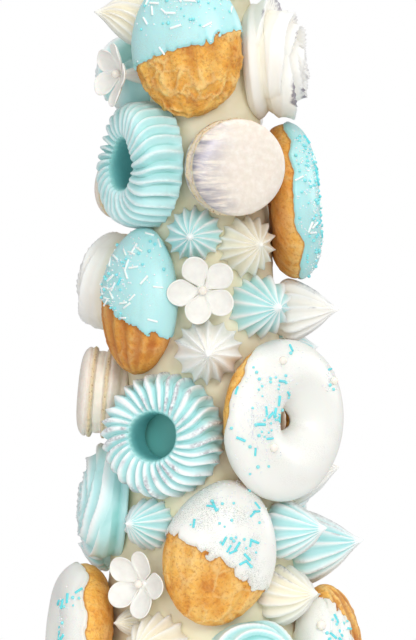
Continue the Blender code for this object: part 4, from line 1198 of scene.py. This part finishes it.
class CANDY_OT_sprinkles(bpy.types.Operator):
    """Sugar strands, beads, crystals and pearls lying on the glaze, each kind one piece"""
    bl_idname = "candy.sprinkles"
    bl_label = "Sugar toppings"

    def execute(self, context):
        rng = np.random.default_rng(4)
        places = {kind: [] for kind in SUGARS}
        for name, clusters in TOPPINGS.items():
            self.scatter(name, clusters, places, rng)
        radius, length = sizes().strand_radius, sizes().strand_length
        # A form that lies in hundreds of copies has few faces
        forms = {
            "strand_blue": self.make_strand(radius, length),
            "strand_white": self.make_strand(radius * 0.95, length * 1.15),
            "bead": self.make_bead(0.68 * MM, 2),
            "crystal": self.make_crystal(0.5 * MM),
            "pearl": self.make_bead(2.0 * MM, 3),
        }
        finishes = {
            "strand_blue": plain_sugar("sugar_strand_blue", tuple(colours().strand), 0.4, 5.0, 0.0),
            "strand_white": plain_sugar("sugar_strand_white", "F0F6F4", 0.4, 5.0, 0.0),
            "bead": plain_sugar("sugar_bead_blue", "8BE2E7", 0.35, 6.667, 0.0),
            "crystal": plain_sugar("sugar_crystal", "F0F0F2", 0.12, 6.667, 0.0),
            "pearl": plain_sugar("sugar_pearl", "F4EEE4", 0.22, 5.0, 0.0),
        }
        for kind in SUGARS:
            self.lay(kind, forms[kind], places[kind], finishes[kind])
        return {"FINISHED"}

    def make_strand(self, radius, length):
        """Short rod with rounded ends."""
        deselect()
        end = 0.6 * radius
        bpy.ops.mesh.primitive_cylinder_add(vertices=8, radius=radius, depth=length - 2 * end)
        rod = bpy.context.object
        soften = rod.modifiers.new("ends", "BEVEL")
        soften.width = end
        soften.segments = 2
        soften.limit_method = "ANGLE"
        bpy.ops.object.modifier_apply(modifier="ends")
        rod.data.transform(Matrix.Rotation(math.pi / 2, 4, "Y"))
        return rod

    def make_bead(self, radius, fineness):
        """Round bead or pearl."""
        deselect()
        bpy.ops.mesh.primitive_ico_sphere_add(subdivisions=fineness, radius=radius)
        return bpy.context.object

    def make_crystal(self, size):
        """Square grain of coarse sugar."""
        deselect()
        bpy.ops.mesh.primitive_cube_add(size=size)
        return bpy.context.object

    def scatter(self, name, clusters, places, rng):
        """Pick spots on the glaze near each cluster's middle, without piling them up."""
        obj = bpy.data.objects[name + "_finished"]
        points = points_of(obj)
        normal = outward_of(obj)
        cover = np.empty(len(points), np.float32)
        obj.data.attributes["icing"].data.foreach_get("value", cover)
        back = np.array(seat(name).inverted())
        local = (points @ back[:3, :3].T + back[:3, 3]) / MM
        facing = normal @ back[2, :3]
        # Sugar lies well inside the glaze's edge (mm), on what faces outwards
        good = np.where((cover > 1.4) & (facing > 0.05))[0]
        taken = []
        for x, y, spread, *counts in clusters:
            away = np.hypot(local[good, 0] - x, local[good, 1] - y)
            near = np.exp(-away ** 2 / (2 * spread ** 2)) + 1e-9
            near /= near.sum()
            for (kind, room), count in zip(SUGARS.items(), counts):
                done = 0
                # More spots are drawn than needed, because some are taken
                for index in rng.choice(good, size=12 * count + 4, p=near):
                    spot = local[index]
                    if done == count:
                        break
                    if any(np.linalg.norm(spot - other) < room for other in taken):
                        continue
                    # Crystals are so small that others may lie beside or over them
                    if kind != "crystal":
                        taken.append(spot)
                    heading, chance = rng.uniform(0, math.tau), rng.random()
                    places[kind].append((points[index], normal[index], heading, chance))
                    done += 1

    def lay(self, kind, form, spots, finish):
        """Copy the form to each spot, turned at random on the glaze, as one mesh."""
        shape = points_of(form)
        faces = [tuple(polygon.vertices) for polygon in form.data.polygons]
        # The middle of each lies this share of its half thickness above the glaze
        half_thick = shape[:, 2].max()
        raised = 0.45
        # Any fixed direction that no glaze faces squarely
        aslant = [0.31, 0.2, 0.93]
        all_points, all_faces = [], []
        for point, normal, heading, chance in spots:
            side = np.cross(normal, aslant)
            side /= np.linalg.norm(side)
            along = math.cos(heading) * side + math.sin(heading) * np.cross(normal, side)
            beside = np.cross(normal, along)
            size = 0.7 + 0.6 * chance
            if kind not in ("crystal", "bead"):
                # Strands and pearls vary less in size, and strands lie a little tilted
                along = along + normal * 0.12 * (chance - 0.3)
                size = 0.85 + 0.3 * chance
            axes = np.column_stack([along, beside, normal])
            start = len(all_points) * len(shape)
            all_points.append(shape * size @ axes.T + point + normal * half_thick * size * raised)
            all_faces += [tuple(start + i for i in face) for face in faces]
        mesh = bpy.data.meshes.new(kind)
        mesh.from_pydata(np.vstack(all_points).tolist(), [], all_faces)
        mesh.update()
        old = form.data
        form.data = mesh
        bpy.data.meshes.remove(old)
        finish_piece(form, "sugar_" + kind + "s", [finish], None)
        if kind == "crystal":
            form.data.polygons.foreach_set("use_smooth", [False] * len(form.data.polygons))


class CANDY_OT_stage(bpy.types.Operator):
    """Pale floor, soft bright studio light and the camera"""
    bl_idname = "candy.stage"
    bl_label = "Stage"

    def execute(self, context):
        deselect()
        bpy.ops.mesh.primitive_circle_add(vertices=96, radius=0.26, fill_type="NGON")
        floor = bpy.context.object
        floor.name = "floor"
        floor.data.materials.append(plain_sugar("pale_floor", "FAFAFA", 0.9, 250.0, 0.0))
        world = bpy.data.worlds.new("soft_light")
        bpy.context.scene.world = world
        world.use_nodes = True
        # White all round as a lit studio cove, but dimmer as light on the sweets
        light = world.node_tree
        seen = add(light, "ShaderNodeLightPath").outputs["Is Camera Ray"]
        strength = add(light, "ShaderNodeMapRange", {"Value": seen, 3: 0.55, 4: 1.0}).outputs[0]
        backdrop = light.nodes["Background"]
        fill(light, backdrop, {"Color": (1.0, 1.0, 1.0), "Strength": strength})
        self.add_light("key", (0.55, -1.7, 1.05), 0.6, 12.5, (1.0, 0.99, 0.97))
        self.add_light("front", (-0.5, -1.9, 0.4), 1.4, 11.5, (1.0, 1.0, 1.0))
        self.add_light("top", (0.1, -0.1, 1.7), 0.8, 8.0, (1.0, 1.0, 1.0))
        self.add_light("rim", (1.2, 0.5, 0.5), 0.7, 4.5, (1.0, 1.0, 1.0))
        self.add_camera()
        bpy.context.scene.view_settings.view_transform = "Standard"
        return {"FINISHED"}

    def add_light(self, name, place, size, power, colour):
        """Square soft light (m, W) that faces the middle of the tower."""
        deselect()
        bpy.ops.object.light_add(type="AREA", location=place)
        light = bpy.context.object
        light.name = name
        light.data.size = size
        light.data.energy = power
        light.data.color = colour
        middle = Vector((0, 0, 0.2))
        aim = middle - Vector(place)
        light.rotation_euler = aim.to_track_quat("-Z", "Y").to_euler()

    def add_camera(self):
        """Long lens, seven degrees above the middle of the tower."""
        target = Vector((0.0016, 0.0, 0.2037))
        rise = math.radians(7.0)
        distance = 3.0
        # How wide the view is at the tower, and the sensor and lens (mm) that see so much
        view_width = 0.2944
        sensor = 36.0
        place = target + distance * Vector((0.0, -math.cos(rise), math.sin(rise)))
        deselect()
        bpy.ops.object.camera_add(location=place)
        camera = bpy.context.object
        camera.rotation_euler = (target - place).to_track_quat("-Z", "Y").to_euler()
        camera.data.sensor_width = sensor
        camera.data.lens = sensor * distance / view_width
        camera.data.clip_end = 50.0
        bpy.context.scene.camera = camera


class CANDY_PT_tower(bpy.types.Panel):
    """Sizes, colours and the pieces of the tower"""
    bl_idname = "CANDY_PT_tower"
    bl_label = "Candy cone tower"
    bl_space_type = "VIEW_3D"
    bl_region_type = "UI"
    bl_category = "Candy tower"

    def draw(self, context):
        for group in (sizes(), colours()):
            box = self.layout.box()
            for key in group.__annotations__:
                box.prop(group, key)
        for operator in OPERATORS:
            self.layout.operator(operator.bl_idname)


OPERATORS = (CANDY_OT_board, CANDY_OT_cone, CANDY_OT_kisses, CANDY_OT_rings, CANDY_OT_roses,
             CANDY_OT_doughnuts, CANDY_OT_madeleines, CANDY_OT_macarons, CANDY_OT_flowers,
             CANDY_OT_sprinkles, CANDY_OT_stage)
CLASSES = (CandyTowerSizes, CandyTowerColours, *OPERATORS, CANDY_PT_tower)


def register():
    for cls in CLASSES:
        bpy.utils.register_class(cls)
    bpy.types.Scene.candy_tower_sizes = bpy.props.PointerProperty(type=CandyTowerSizes)
    bpy.types.Scene.candy_tower_colours = bpy.props.PointerProperty(type=CandyTowerColours)


def unregister():
    del bpy.types.Scene.candy_tower_colours
    del bpy.types.Scene.candy_tower_sizes
    for cls in reversed(CLASSES):
        bpy.utils.unregister_class(cls)


def main():
    register()
    bpy.ops.candy.board()
    bpy.ops.candy.cone()
    bpy.ops.candy.kisses()
    bpy.ops.candy.rings()
    bpy.ops.candy.roses()
    bpy.ops.candy.doughnuts()
    bpy.ops.candy.madeleines()
    bpy.ops.candy.macarons()
    bpy.ops.candy.flowers()
    bpy.ops.candy.sprinkles()
    bpy.ops.candy.stage()


if __name__ == "__main__":
    main()
